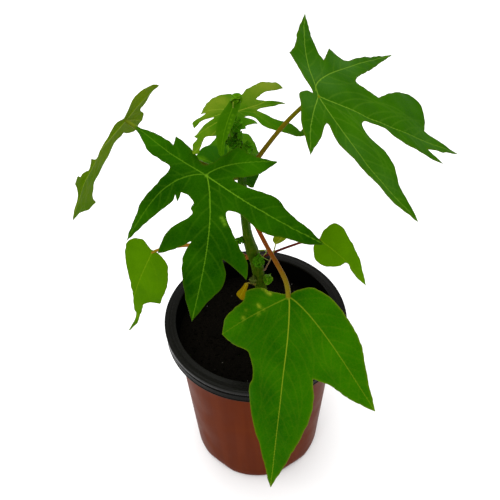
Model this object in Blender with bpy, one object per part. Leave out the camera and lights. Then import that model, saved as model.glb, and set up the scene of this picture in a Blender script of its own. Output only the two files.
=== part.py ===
"""A potted papaya seedling, one solid for each piece: pot, rim, soil, stem, and each leaf's stalk and blade.

Lengths and places below are in millimetres and become metres where a mesh is made. The origin is the
centre of the pot's flat underside, +Z is up and -Y is the front.
"""

import math

import bmesh
import bpy
import numpy as np
from mathutils import Vector, geometry

METRES_PER_MM = 0.001
GAP = 0.3

# Pot: a thin two-tone nursery pot, brown outside, with a black rim folded over its upper edge
RIM_RADIUS = 66.0
POT_HEIGHT = 148.0
WALL = 1.2
BASE_RADIUS = 51.0
BODY_TOP_RADIUS = 59.0
BODY_TOP = POT_HEIGHT - 1.7
BASE_ROUNDING = 4.0
FLOOR = 1.6
NOTCHES = 5
NOTCH_TURN = 15.0
NOTCH_DEPTH = 2.4
NOTCH_HEIGHT = 8.0
FOOT_RADIUS = 36.0
BASE_STEPS = 3
POT_SEGMENTS = 48

# Rim: the section of a flat ring on top, a skirt outside it with one groove, and a rolled lower lip, as
# (inset from the outer radius, drop below the top) from under the ring's inner edge and round
RIM_SECTION = [
    (8.2, 1.4), (8.2, 0.0), (1.2, 0.0), (0.0, 1.0), (0.2, 4.4), (1.5, 5.6), (0.6, 7.0), (0.9, 12.4), (1.4, 13.0),
    (2.4, 13.0), (2.9, 1.4),
]

# Soil fills the pot to a little below the rim
SOIL_TOP = 131.0
SOIL_SEGMENTS = 36
SOIL_MOUND = 1.5
SOIL_FLAT_SHARE = 0.7

# Stem: (height, x, y, radius) from the flat foot on the soil to the growing tip
STEM = [
    (SOIL_TOP + GAP, 6.0, 10.0, 6.4),
    (136.0, 5.9, 10.0, 5.0),
    (145.0, 5.7, 10.0, 4.5),
    (165.0, 4.4, 10.0, 4.0),
    (180.0, 2.8, 9.6, 4.0),
    (192.0, 1.4, 9.2, 4.3),
    (206.0, -1.6, 8.9, 4.2),
    (216.0, -3.8, 8.6, 3.7),
    (225.0, -4.9, 8.4, 3.0),
    (240.0, -5.8, 8.0, 2.9),
    (275.0, -7.2, 7.0, 2.7),
    (298.0, -8.0, 6.0, 2.2),
]
STEM_SIDES = 12
STEM_RINGS = 16
FOOT_FLARE = 1.5

# Kinds of outline point: a corner stays sharp, and a rib tip is a corner that a main rib runs to
CORNER = 1
RIB = 2
OUTLINE_STEP = 9.0
RIB_STEP = 12.0
STALK_SIDES = 8
STALK_RINGS = 9

# A stalk leaves the bark straight for this many of its own radii before it curves
STRAIGHT_RADII = 1.2

# Small clusters of unopened leaves: node, centre and radii
BUDS = {
    "bud_upper": ((2.8, 2.65, 200.6), (2.2, 2.2, 4.2)),
    "bud_lower": ((10.2, 7.4, 176.0), (2.5, 2.6, 4.2)),
    "bud_side": ((-2.7, 6.0, 293.5), (2.7, 2.7, 4.2)),
    "shoot_tip": ((-9.4, 5.0, 303.9), (2.9, 2.7, 5.4)),
}
CRINKLE = 0.12

# Colours, as linear red, green and blue, and how rough each kind of surface is
POT_BROWN = (0.19, 0.055, 0.03)
RIM_BLACK = (0.012, 0.012, 0.012)
SOIL_DARK = (0.012, 0.008, 0.005)
STEM_GREEN = (0.1, 0.16, 0.02)
LEAF_GREEN = (0.05, 0.17, 0.01)
YOUNG_GREEN = (0.13, 0.27, 0.02)
STALK_RED = (0.3, 0.09, 0.03)
PLASTIC_ROUGHNESS = 0.4
SKIN_ROUGHNESS = 0.5
SOIL_ROUGHNESS = 0.95
SHARP_ANGLE = 40


class Leaf:
    """One leaf: where its blade starts, how it faces, and its outline in polar form about that point.

    heading is the compass angle of the middle lobe (0 along +X, 90 along +Y), dip its slope below the
    level and roll the lean of the blade about it. droop is how far the blade has sunk at its reach.
    An outline point is (angle from the middle lobe, distance), then CORNER, or RIB and the rib's bow.
    """

    def __init__(self, name, seat, heading, dip, roll, reach, droop, thickness, outline):
        self.name = name
        self.seat = Vector(seat)
        self.reach = reach
        self.droop = droop
        self.thickness = thickness
        self.outline = outline
        turn, slope, lean = (math.radians(angle) for angle in (heading, dip, roll))
        level_side = Vector((-math.sin(turn), math.cos(turn), 0.0))
        self.along = Vector(
            (math.cos(slope) * math.cos(turn), math.cos(slope) * math.sin(turn), -math.sin(slope))
        )
        upright = self.along.cross(level_side)
        self.aside = level_side * math.cos(lean) + upright * math.sin(lean)
        self.facing = self.along.cross(self.aside)

    def point(self, x, y):
        """The place of one point of the blade's middle surface."""
        sag = self.droop * (x * x + y * y) / self.reach**2
        return self.seat + self.along * x + self.aside * y - self.facing * sag

    def under(self):
        """Where a stalk that comes from below ends, and the direction it arrives in."""
        return self.seat - self.facing * (self.thickness / 2 + GAP), self.facing.copy()

    def beside(self, angle, setback):
        """Where a stalk that comes in the blade's plane from angle ends, and the way it arrives."""
        way = polar(angle, 1.0)
        outward = self.along * way.x + self.aside * way.y
        return self.seat + outward * (setback + GAP), -outward


def polar(angle, distance):
    """The flat place of a polar outline point."""
    turn = math.radians(angle)
    return Vector((distance * math.cos(turn), distance * math.sin(turn)))


def spline(before, start, end, after, share):
    """A point of the smooth curve that passes through start and end."""
    square, cube = share * share, share**3
    return 0.5 * (
        2 * start
        + (end - before) * share
        + (2 * before - 5 * start + 4 * end - after) * square
        + (3 * start - before - 3 * end + after) * cube
    )


def outline_curve(outline, step):
    """The closed outline as flat points about step apart, smooth except at its corners."""
    flat = [polar(point[0], point[1]) for point in outline]
    sharp = [len(point) > 2 for point in outline]
    count = len(flat)
    curve = []
    for index in range(count):
        start, end = flat[index], flat[(index + 1) % count]
        before = start if sharp[index] else flat[index - 1]
        after = end if sharp[(index + 1) % count] else flat[(index + 2) % count]
        pieces = max(1, round((end - start).length / step))
        curve += [spline(before, start, end, after, piece / pieces) for piece in range(pieces)]
    return curve


def rib_curves(outline):
    """Each main rib as a function of its share of length, from the stalk to a lobe's tip."""
    ribs = []
    for point in outline:
        if len(point) > 3:
            tip = polar(point[0], point[1])
            side = Vector((-tip.y, tip.x)).normalized() * point[3]
            ribs.append(lambda share, tip=tip, side=side: tip * share + side * (4 * share * (1 - share)))
    return ribs


def new_object(name, mesh_data, colour, roughness):
    """Puts a finished bmesh into the scene as an object with its own plain material."""
    mesh = bpy.data.meshes.new(name)
    mesh_data.to_mesh(mesh)
    mesh_data.free()
    mesh.transform(((METRES_PER_MM, 0, 0, 0), (0, METRES_PER_MM, 0, 0), (0, 0, METRES_PER_MM, 0), (0, 0, 0, 1)))
    material = bpy.data.materials.new(name)
    material.use_nodes = True
    shader = material.node_tree.nodes["Principled BSDF"]
    shader.inputs["Base Color"].default_value = (*colour, 1.0)
    shader.inputs["Roughness"].default_value = roughness
    shader.inputs["Metallic"].default_value = 0.0
    mesh.materials.append(material)
    obj = bpy.data.objects.new(name, mesh)
    bpy.context.scene.collection.objects.link(obj)
    return obj


def turned(name, profile, segments, colour, roughness, shape=None):
    """A closed solid turned about Z from a profile of (radius, height), which starts and ends on the axis
    or closes on itself. shape may move each (radius, height, angle) to a new radius and height."""
    data = bmesh.new()
    rings = []
    for radius, height in profile:
        if radius == 0.0:
            rings.append([data.verts.new((0.0, 0.0, height))])
            continue
        ring = []
        for step in range(segments):
            angle = 2 * math.pi * step / segments
            out, up = shape(radius, height, angle) if shape else (radius, height)
            ring.append(data.verts.new((out * math.cos(angle), out * math.sin(angle), up)))
        rings.append(ring)
    closed = len(rings[0]) > 1
    pairs = list(zip(rings, rings[1:] + rings[:1])) if closed else list(zip(rings, rings[1:]))
    for inner, outer in pairs:
        for step in range(segments):
            ahead = (step + 1) % segments
            corners = [inner[step % len(inner)], outer[step % len(outer)]]
            corners += [outer[ahead % len(outer)], inner[ahead % len(inner)]]
            data.faces.new(list(dict.fromkeys(corners)))
    bmesh.ops.recalc_face_normals(data, faces=data.faces)
    obj = new_object(name, data, colour, roughness)
    obj.data.shade_smooth()
    obj.data.set_sharp_from_angle(angle=math.radians(SHARP_ANGLE))
    return obj


def body_radius(height):
    """The pot's outer radius at a height."""
    return BASE_RADIUS + (BODY_TOP_RADIUS - BASE_RADIUS) * height / BODY_TOP


def notched_foot(radius, height, angle):
    """Moulded notches round the lower edge, which leave the foot between them."""
    if height > NOTCH_HEIGHT or radius < BASE_RADIUS - 3 * BASE_ROUNDING:
        return radius, height
    wave = max(0.0, math.cos((angle - math.radians(NOTCH_TURN)) * NOTCHES)) ** 2
    return radius - NOTCH_DEPTH * wave * (1 - height / NOTCH_HEIGHT), height


def make_pot():
    profile = [(0.0, 0.0), (FOOT_RADIUS, 0.0)]
    centre = BASE_RADIUS - BASE_ROUNDING
    for step in range(BASE_STEPS + 1):
        angle = math.radians(90 * step / BASE_STEPS - 90)
        profile.append((centre + BASE_ROUNDING * math.cos(angle), BASE_ROUNDING * (1 + math.sin(angle))))
    profile += [(body_radius(NOTCH_HEIGHT), NOTCH_HEIGHT), (body_radius(BODY_TOP), BODY_TOP)]
    profile += [(body_radius(BODY_TOP) - WALL, BODY_TOP)]
    inner_foot = FLOOR + BASE_ROUNDING
    profile += [(body_radius(inner_foot) - WALL - NOTCH_DEPTH, inner_foot + NOTCH_HEIGHT)]
    profile += [(body_radius(inner_foot) - WALL - NOTCH_DEPTH - BASE_ROUNDING, FLOOR), (0.0, FLOOR)]
    turned("pot", profile, POT_SEGMENTS, POT_BROWN, PLASTIC_ROUGHNESS, notched_foot)


def make_rim():
    profile = [(RIM_RADIUS - inset, POT_HEIGHT - drop) for inset, drop in RIM_SECTION]
    turned("pot_rim", profile, POT_SEGMENTS, RIM_BLACK, PLASTIC_ROUGHNESS)


def make_soil():
    bottom = FLOOR + GAP
    foot = body_radius(bottom) - WALL - 2 * NOTCH_DEPTH - BASE_ROUNDING - 2 * GAP
    bend_height = FLOOR + BASE_ROUNDING + NOTCH_HEIGHT
    bend = body_radius(FLOOR + BASE_ROUNDING) - WALL - NOTCH_DEPTH - 2 * GAP
    rise = (body_radius(BODY_TOP) - WALL - 2 * GAP - bend) / (BODY_TOP - bend_height)
    edge = bend + rise * (SOIL_TOP - SOIL_MOUND - bend_height)
    profile = [(0.0, bottom), (foot, bottom), (bend, bend_height), (edge, SOIL_TOP - SOIL_MOUND)]
    profile += [(edge * SOIL_FLAT_SHARE, SOIL_TOP), (0.0, SOIL_TOP)]
    turned("soil", profile, SOIL_SEGMENTS, SOIL_DARK, SOIL_ROUGHNESS)


def stem_at(height):
    """The stem's centre and radius at a height, on a smooth curve through its stations."""
    last = len(STEM) - 1
    index = next((at for at in range(last) if height <= STEM[at + 1][0]), last - 1)
    low, high = STEM[index], STEM[index + 1]
    share = (height - low[0]) / (high[0] - low[0])
    before, after = STEM[max(index - 1, 0)], STEM[min(index + 2, last)]
    stations = [Vector(station) for station in (before, low, high, after)]
    smooth = spline(*stations, share)
    radius = low[3] + (high[3] - low[3]) * share
    return Vector((smooth[1], smooth[2], height)), radius


def tube(name, centres, radii, sides, colour, roughness, end_facing=None):
    """A tapering closed tube through centres. Its last ring may be turned to face end_facing."""
    data = bmesh.new()
    rings = []
    across = None
    last = len(centres) - 1
    for index, (centre, radius) in enumerate(zip(centres, radii)):
        ahead = (centres[min(index + 1, last)] - centres[max(index - 1, 0)]).normalized()
        if index == last and end_facing is not None:
            ahead = end_facing
        if across is None:
            across = ahead.orthogonal().normalized()
        across = (across - ahead * across.dot(ahead)).normalized()
        over = ahead.cross(across)
        ring = []
        for side in range(sides):
            angle = 2 * math.pi * side / sides
            ring.append(data.verts.new(centre + (across * math.cos(angle) + over * math.sin(angle)) * radius))
        rings.append(ring)
    for low, high in zip(rings, rings[1:]):
        for side in range(sides):
            ahead = (side + 1) % sides
            data.faces.new((low[side], low[ahead], high[ahead], high[side]))
    data.faces.new(rings[0][::-1])
    data.faces.new(rings[-1])
    bmesh.ops.recalc_face_normals(data, faces=data.faces)
    obj = new_object(name, data, colour, roughness)
    obj.data.shade_smooth()
    obj.data.set_sharp_from_angle(angle=math.radians(SHARP_ANGLE))
    return obj


def make_stem():
    foot, tip = STEM[0][0], STEM[-1][0]
    heights = [foot, foot + FOOT_FLARE, STEM[1][0], STEM[2][0]]
    heights += list(np.linspace(STEM[2][0], tip, STEM_RINGS)[1:])
    stations = [stem_at(height) for height in heights]
    flat_foot = [centre for centre, _ in stations]
    flat_foot[1].x, flat_foot[1].y = flat_foot[0].x, flat_foot[0].y
    tube("stem", flat_foot, [radius for _, radius in stations], STEM_SIDES, STEM_GREEN, SKIN_ROUGHNESS)


def bezier(start, leave, arrive, end, share):
    """A point of the smooth curve from start to end, which heads for leave and comes in from arrive."""
    left = 1 - share
    return (
        start * left**3 + leave * (3 * left**2 * share) + arrive * (3 * left * share**2) + end * share**3
    )


def make_stalk(name, height, azimuth, leaving, rise, arriving, radii, end, direction, colour):
    """A leaf stalk from the stem's side, square to its bark, to where its blade starts."""
    centre, stem_radius = stem_at(height)
    axis = (stem_at(height + 1)[0] - stem_at(height - 1)[0]).normalized()
    turn = math.radians(azimuth)
    outward = Vector((math.cos(turn), math.sin(turn), 0.0))
    outward = (outward - axis * outward.dot(axis)).normalized()
    root = centre + outward * (stem_radius + GAP)
    bend = root + outward * (STRAIGHT_RADII * radii[0])
    leave = bend + outward * leaving + Vector((0.0, 0.0, rise))
    controls = (bend, leave, end - direction * arriving, end)
    shares = np.linspace(0, 1, STALK_RINGS)
    centres = [root] + [bezier(*controls, share) for share in shares]
    thickness = [radii[0]] + [radii[0] + (radii[1] - radii[0]) * share for share in shares]
    tube(name, centres, thickness, STALK_SIDES, colour, SKIN_ROUGHNESS, direction)


def make_blade(leaf, colour):
    """A thin lobed blade: its flat outline and ribs are triangulated, then laid on the leaf's surface."""
    curve = outline_curve(leaf.outline, OUTLINE_STEP)
    inner = []
    for rib in rib_curves(leaf.outline):
        pieces = max(2, round(rib(1).length / RIB_STEP))
        inner += [rib(piece / pieces) for piece in range(1, pieces)]
    inner.append(Vector((0.0, 0.0)))
    loop = list(range(len(curve)))
    edges = list(zip(loop, loop[1:] + loop[:1]))
    points, _, faces, _, _, _ = geometry.delaunay_2d_cdt(curve + inner, edges, [loop], 1, 1e-4)
    data = bmesh.new()
    verts = [data.verts.new(leaf.point(point.x, point.y)) for point in points]
    for face in faces:
        data.faces.new([verts[corner] for corner in face])
    bmesh.ops.recalc_face_normals(data, faces=data.faces)
    obj = new_object(leaf.name, data, colour, SKIN_ROUGHNESS)
    shell = obj.modifiers.new("thickness", "SOLIDIFY")
    shell.thickness = leaf.thickness * METRES_PER_MM
    shell.offset = 0.0
    return obj


def make_lump(name, centre, radii):
    """A small closed cluster of unopened leaves, as an egg with a crinkled skin."""
    data = bmesh.new()
    bmesh.ops.create_icosphere(data, subdivisions=2, radius=1.0)
    for vert in data.verts:
        way = vert.co.copy()
        wave = math.sin(7 * way.x + 3 * way.z) * math.cos(6 * way.y - 2 * way.z)
        size = Vector((way.x * radii[0], way.y * radii[1], way.z * radii[2]))
        vert.co = size * (1 + CRINKLE * wave) + Vector(centre)
    return new_object(name, data, YOUNG_GREEN, SKIN_ROUGHNESS)


# Outlines go round each blade from one side of the stalk's notch to the other
FRONT = [
    (-165, 7), (-155, 13), (-150, 21), (-146, 29, CORNER), (-136.5, 25.8, CORNER), (-135, 34),
    (-129, 50.5, RIB, 1.5), (-124, 43), (-115, 34.3), (-111, 26), (-104, 20.3), (-84, 26.2), (-75, 32.1),
    (-67, 39.2), (-51, 56.5, RIB, -9), (-52, 42), (-52, 32), (-52, 26.5), (-53.3, 22.7),
    (-58.5, 20.2, CORNER), (-46, 22.5, CORNER), (-56, 16.8, CORNER), (-46, 15.4), (-34, 15.9), (-25, 17.3),
    (-26, 20.6), (-21, 22.6), (-24, 25.8), (-30.3, 30.3), (-35, 39), (-33, 50.5, CORNER), (-24.3, 45),
    (-14.3, 38, CORNER), (-17, 48), (-14.3, 57.8), (-10, 70), (-7, 79, RIB, 4.3), (-1, 69), (6, 62), (9, 56),
    (9, 47, CORNER), (15, 53), (19, 61, CORNER), (23, 53), (22, 38), (23, 25), (33, 24), (40, 31), (43, 44),
    (51, 56), (56, 68), (60, 75, RIB, -2.5), (62, 64.7), (66, 49.8), (72, 40), (72.5, 28), (80, 15), (89, 23),
    (94, 31), (103, 41.5, RIB, 3.5), (113, 30), (134, 25, CORNER), (140, 16), (158, 8),
]
RIGHT = [
    (176, 4), (-178, 8), (-158, 13), (-118, 22.5), (-101, 36), (-95, 44.5, RIB, -2), (-87, 31), (-77, 20.3),
    (-67, 20), (-62, 33.6), (-49, 53), (-44, 73), (-39, 89, RIB, -5), (-34, 67.7), (-24, 53.2), (-20, 45.6),
    (-18, 32.4), (-6, 31), (-1, 44.8), (-4, 57.3), (-3, 92, CORNER), (1, 79, CORNER), (3, 92, CORNER),
    (6, 106.5, RIB, -2), (8, 90), (11, 79.5, CORNER), (17, 81.8), (25, 83), (31, 77.7), (31, 61),
    (28, 48, CORNER), (36, 39), (47, 37.3), (49, 57), (51, 89, RIB, 8), (57, 63.3), (64, 45), (73, 41.5),
    (82, 42.5, CORNER), (85, 30, CORNER), (96, 39.1), (99, 65, RIB, 5), (109, 47.2), (122, 33, CORNER),
    (132, 30.3, CORNER), (136, 17), (146, 6),
]
LOW_FRONT = [
    (-140, 2.5), (-114, 4), (-110, 8), (-105.5, 12.7), (-106, 17), (-101, 23), (-95, 28), (-88, 29.4),
    (-81, 31.5), (-75.5, 38.5), (-69, 47), (-60, 53.3, RIB, -1), (-50, 50), (-36, 45), (-25, 57), (-24, 67),
    (-17, 83), (-10, 103), (-6, 122.5, RIB, 2.3), (1, 98), (8, 81), (14, 68), (19, 51, CORNER), (28, 58),
    (35, 71), (41, 83.5, RIB, 4.5), (50, 64.5), (62, 52.5), (74, 40), (90, 29.5), (112, 18), (127, 8), (150, 2.5),
]
LOW_LEFT = [
    (-172, 2.5, CORNER), (-148, 11), (-120, 16.5), (-95, 18), (-62, 20.5), (-34, 29), (-23, 38.3),
    (-18, 49), (-15, 54.5), (-17, 71.5, RIB, -3), (-13, 61.3), (-12, 54.4), (-11, 47.2),
    (-11, 43.2, CORNER), (-5, 39.7), (6, 40, CORNER), (20, 27), (32, 20), (52, 13), (85, 5),
]
LOW_RIGHT = [
    (180, 1.5, CORNER), (118, 8), (98, 15.8), (80, 20), (60, 22.5), (43, 28.5), (27, 37.8),
    (13.5, 51, RIB, 2), (13, 35.5), (17, 27), (1, 22.8), (-25, 18), (-53, 13.6), (-85, 6.8),
]
LEFT = [
    (-166, 22.4), (-157, 17.8), (-150, 14), (-133, 17.5), (-120, 19, RIB, 0), (-109, 18.2), (-95, 17.8),
    (-80, 14.2), (-56, 9.5), (-44, 10.4), (-25, 14.7), (-24, 19.2), (-23, 24), (-20, 29), (-18, 35.2),
    (-18, 39.5), (-22, 44.9), (-25, 49.8), (-31, 54, CORNER), (-28, 56.3), (-24, 58.3), (-17, 60),
    (-11, 65, RIB, 8), (-7, 57), (-3, 51), (4, 48.5), (9, 48, CORNER), (11, 44), (7, 42.2), (8, 40.9),
    (6, 37.7), (4, 36.1), (10, 32.4), (13, 31.5, CORNER), (3, 27.6), (8, 21.3), (15, 16.5), (29, 12),
    (48, 8.5), (58, 5.5), (92, 3), (130, 6.5), (143, 11), (155, 15.5), (168, 21), (178, 25.9),
    (-174, 29, CORNER), (-170, 30, RIB, -1), (-168, 28.5, CORNER),
]
TOP = [
    (168, 12), (-166, 13.5), (-132, 15), (-105, 17.8), (-77, 24, RIB, -2), (-78, 19, CORNER), (-68, 30),
    (-60, 32.5, RIB, -2), (-66, 25), (-64, 18, CORNER), (-58, 27), (-53, 36, RIB, 0), (-49, 35.6, CORNER),
    (-47.5, 41.5), (-42.5, 46, RIB, 0), (-40, 43), (-43, 37), (-45.5, 31), (-37, 25), (-40, 12), (-19, 7), (1, 13.3), (19, 11.5), (40, 12.3),
    (51, 13.5, RIB, 0), (55, 12.2), (56, 10.2), (50, 7.4), (34, 5.3, CORNER), (66, 6.9), (69, 10.8),
    (58, 14.8), (58, 18.7), (65, 25.5), (70, 34.4), (72, 38.5), (78, 44, CORNER), (88, 45, RIB, 2),
    (80, 40.3, CORNER), (83, 37.8), (86, 33.8), (86, 29.4), (87, 22), (94, 17.5), (104, 12.5, CORNER),
    (110, 19.4), (111, 27.5), (114, 40, RIB, 0), (121, 26), (133, 19.8, CORNER), (134, 31.6), (130, 41),
    (129, 49, RIB, -3), (135, 49.5), (138, 46.5), (145, 36.3), (154, 23),
]
BACK = [
    (-160, 3, CORNER), (-166, 10), (-172, 15), (172, 14), (150, 12), (120, 13), (95, 15), (70, 17), (55, 22),
    (42, 26.7, RIB, 0), (27, 29.1), (14, 31.1), (3, 37), (-6, 52), (-10, 62, RIB, 0), (-16, 50), (-22, 43.4),
    (-28, 42.6), (-35, 38.1), (-43, 33.2), (-53, 28.7, RIB, 0), (-73, 23.1), (-94, 20.6), (-113, 20.3),
    (-131, 21.4), (-147, 23.3, RIB, 0), (-151, 21), (-147, 14), (-150, 8),
]
YOUNG = [
    (-129, 3), (-70, 4), (-43, 7.3), (-36, 11.6), (-28, 16), (-21, 20.2), (-15, 24.3), (-11, 27.3), (-8, 30.4),
    (-5.5, 32.4), (-3, 33.2, RIB, -1.2), (0, 32.2), (-0.5, 29.4), (-1, 25.5), (1, 22.5), (4, 18), (8, 14),
    (16, 9.5), (36, 5.7), (71, 3.3), (160, 2),
]
TINY = [
    (160, 1.5), (136, 2.9), (114, 4.4), (95, 5.5), (74, 6.6), (55, 7.7), (43, 8.3, RIB, 0), (27, 8), (20, 6.4),
    (14, 4.2), (0, 1.8), (-100, 0.6),
]
SPOON = [
    (180, 1), (-110, 1.2), (-40, 2.8), (-27, 5.8), (-25, 8.5), (-21, 10.1), (-13, 11), (-2, 11.6, RIB, 0),
    (8, 11.8), (15, 11.1), (20, 9.1), (24, 6.2), (32, 3), (110, 1.2),
]

LEAVES = {
    "left": Leaf("blade_left", (-72.9, 14, 308.7), -130, 27, 75, 66, 5, 1.2, LEFT),
    "front": Leaf("blade_front", (-25.5, -24, 297.5), -88, 30, -6, 95, 14, 1.5, FRONT),
    "right": Leaf("blade_right", (37, 10, 325), 2, 30, 14, 104, 4, 1.5, RIGHT),
    "low_front": Leaf("blade_low_front", (20, -45, 219), -92, 48, 25, 122, 4, 1.5, LOW_FRONT),
    "low_left": Leaf("blade_low_left", (-67, -2, 216), -100, 72, 0, 50, 3, 1.0, LOW_LEFT),
    "low_right": Leaf("blade_low_right", (44, 10, 213), -35, 50, 15, 55, 3, 1.0, LOW_RIGHT),
    "top": Leaf("blade_top", (-8, 17, 311.5), -80, 12, -20, 46, 4, 1.0, TOP),
    "back": Leaf("blade_back", (-16, 24, 263), 100, 0, 0, 50, 4, 1.0, BACK),
    "young": Leaf("blade_young", (-8.5, 4, 328), -105, 27, 10, 35, 3, 1.0, YOUNG),
    "tiny": Leaf("blade_tiny", (14, 1.2, 219.2), 0, 0, 45, 8.3, 0.5, 0.6, TINY),
    "spoon": Leaf("blade_seed_leaf", (-6.1, 2, 179), -130, 50, -20, 12.6, 1, 0.6, SPOON),
}

# Stalks: height on the stem, azimuth, reach and rise of the leaving curve, length of the arriving one,
# radii at both ends, and how they join: under the blade, or in its plane from (angle, setback)
STALKS = {
    "left": (272, 190, 50, 35, 22, (1.8, 1.2), "under"),
    "front": (282, -118, 5, 3, 8, (1.8, 1.3), "under"),
    "right": (275.6, -20, 29.5, 57, 4, (1.4, 1.05), "under"),
    "low_front": (251, -66, 43, -19, 15, (1.3, 1.6), (180, 2.6)),
    "low_left": (200, 178, 20, 24, 8, (1.5, 0.9), (130, 2.2)),
    "low_right": (199, -10, 12, 5, 8, (0.9, 0.7), (-145, 1.8)),
    "top": (286, 92, 4, 6, 7, (1.5, 1.1), "under"),
    "back": (250, 118, 5, 2, 6, (1.4, 1.0), "under"),
    "young": (294, -149, 6.6, 16.6, 3.7, (0.8, 0.7), "under"),
    "tiny": (186, -12, 3, 8, 6, (0.6, 0.45), (-100, 0.8)),
    "spoon": (174.2, -140, 2.5, 3, 2, (0.7, 0.5), (180, 1.2)),
}


def make_leaves():
    for key, leaf in LEAVES.items():
        height, azimuth, leaving, rise, arriving, radii, join = STALKS[key]
        end, direction = leaf.under() if join == "under" else leaf.beside(*join)
        stalk = leaf.name.replace("blade", "stalk")
        make_stalk(stalk, height, azimuth, leaving, rise, arriving, radii, end, direction, STALK_RED)
        make_blade(leaf, LEAF_GREEN if leaf.reach > 60 else YOUNG_GREEN)


def make_buds():
    for name, (centre, radii) in BUDS.items():
        make_lump(name, centre, radii)


def clear_scene():
    for obj in list(bpy.data.objects):
        bpy.data.objects.remove(obj, do_unlink=True)


def main():
    clear_scene()
    make_pot()
    make_rim()
    make_soil()
    make_stem()
    make_leaves()
    make_buds()


main()
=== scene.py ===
"""A potted papaya seedling in full detail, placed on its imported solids.

Lengths and places below are in millimetres and become metres where a mesh is made. The origin is the
centre of the pot's flat underside, +Z is up and -Y is the front.
"""

import math
import random
from functools import partial
from itertools import combinations
from typing import NamedTuple

import bpy
import numpy as np
from mathutils import Matrix, Vector, geometry, kdtree, noise


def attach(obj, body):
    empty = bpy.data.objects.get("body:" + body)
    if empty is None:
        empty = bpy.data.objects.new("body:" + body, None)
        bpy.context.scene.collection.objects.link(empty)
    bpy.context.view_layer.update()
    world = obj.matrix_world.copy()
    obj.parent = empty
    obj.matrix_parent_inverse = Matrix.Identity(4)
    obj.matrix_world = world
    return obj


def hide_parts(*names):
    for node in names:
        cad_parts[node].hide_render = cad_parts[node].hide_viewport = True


METRES_PER_MM = 0.001
BODY = "root"

# Gap that parts which rest on each other keep
GAP = 0.3

# Camera: the photograph's place and direction, from above and in front
CAMERA_PLACE = (0.0, -320.17, 539.06)
CAMERA_AIM = (-3.44, 61.68, 152.46)
CAMERA_ROLL = -1.4
CAMERA_LENS = 50.0
CAMERA_SENSOR = 36.0

# Pot: a thin two-tone nursery pot, brown outside, with a black rim folded over its upper edge
RIM_RADIUS = 66.0
POT_HEIGHT = 148.0
WALL = 1.2
BASE_RADIUS = 51.0
BODY_TOP_RADIUS = 59.0
BODY_TOP = POT_HEIGHT - 1.7
BASE_ROUNDING = 4.0
BASE_MARGIN = 14.0
FLOOR = 1.6
NOTCHES = 5
NOTCH_TURN = 15.0
NOTCH_DEPTH = 2.4
NOTCH_HEIGHT = 8.0
POT_SEGMENTS = 256
WALL_STEPS = 28
RIM_INNER_RADIUS = 57.8
RIM_PLATE = 1.4
RIM_LIP = POT_HEIGHT - 13.0
RIM_GROOVE = POT_HEIGHT - 5.6

# Soil: a crumbled surface with loose crumbs and a few pale grains. Each layer of its unevenness has the
# rate that it changes at, its depth and the place that its pattern is taken from
SOIL_TOP = 131.0
SOIL_MOUND = 1.5
SOIL_RADIUS = 57.2
SOIL_RINGS = 70
SOIL_SEGMENTS = 220
SOIL_SINK = 0.9
SOIL_LAYERS = [(0.16, 0.75, 0.0), (0.45, 0.45, 5.0), (1.3, 0.35, 9.0)]
SOIL_FOOT_RADIUS = BASE_RADIUS - 10.0
CRUMBS = 900
CRUMB_SIZES = (0.35, 1.5)
GRAINS = 15
GRAIN_SIZES = (0.35, 0.7)
LUMP_EDGE = 2.1

# Stem: (height, x, y, radius) from the flat foot on the soil to the growing tip
STEM = [
    (SOIL_TOP + GAP, 6.0, 10.0, 6.4),
    (136.0, 5.9, 10.0, 5.0),
    (145.0, 5.7, 10.0, 4.5),
    (165.0, 4.4, 10.0, 4.0),
    (180.0, 2.8, 9.6, 4.0),
    (192.0, 1.4, 9.2, 4.3),
    (206.0, -1.6, 8.9, 4.2),
    (216.0, -3.8, 8.6, 3.7),
    (225.0, -4.9, 8.4, 3.0),
    (240.0, -5.8, 8.0, 2.9),
    (275.0, -7.2, 7.0, 2.7),
    (298.0, -8.0, 6.0, 2.2),
]
STEM_SIDES = 56
STEM_RING_STEP = 0.8
STEM_RIDGES = 5
STEM_RIDGE = 0.12
STEM_LUMP = 0.25

# Form of a scar: its height and turn for each millimetre of its width, and how it bulges and is hollow
SCAR_HEIGHT = 0.45
SCAR_TURN = 18.0
SCAR_BULGE = 0.55
SCAR_HOLLOW = 0.4
SCAR_HOLLOW_RATE = 5

# Old leaf scars on the stem: (height, azimuth, width)
SCARS = [
    (150, -120, 2.6), (156, 40, 2.4), (163, -20, 2.6), (170, 170, 2.4), (178, -70, 2.6), (186, 80, 2.4),
    (193, -140, 2.6), (207, -40, 2.4), (214, 120, 2.2), (238, -10, 2.0), (246, -150, 2.0), (258, 60, 1.8),
]

# Kinds of outline point: a corner stays sharp, and a rib tip is a corner that a main rib runs to
CORNER = 1
RIB = 2

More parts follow.
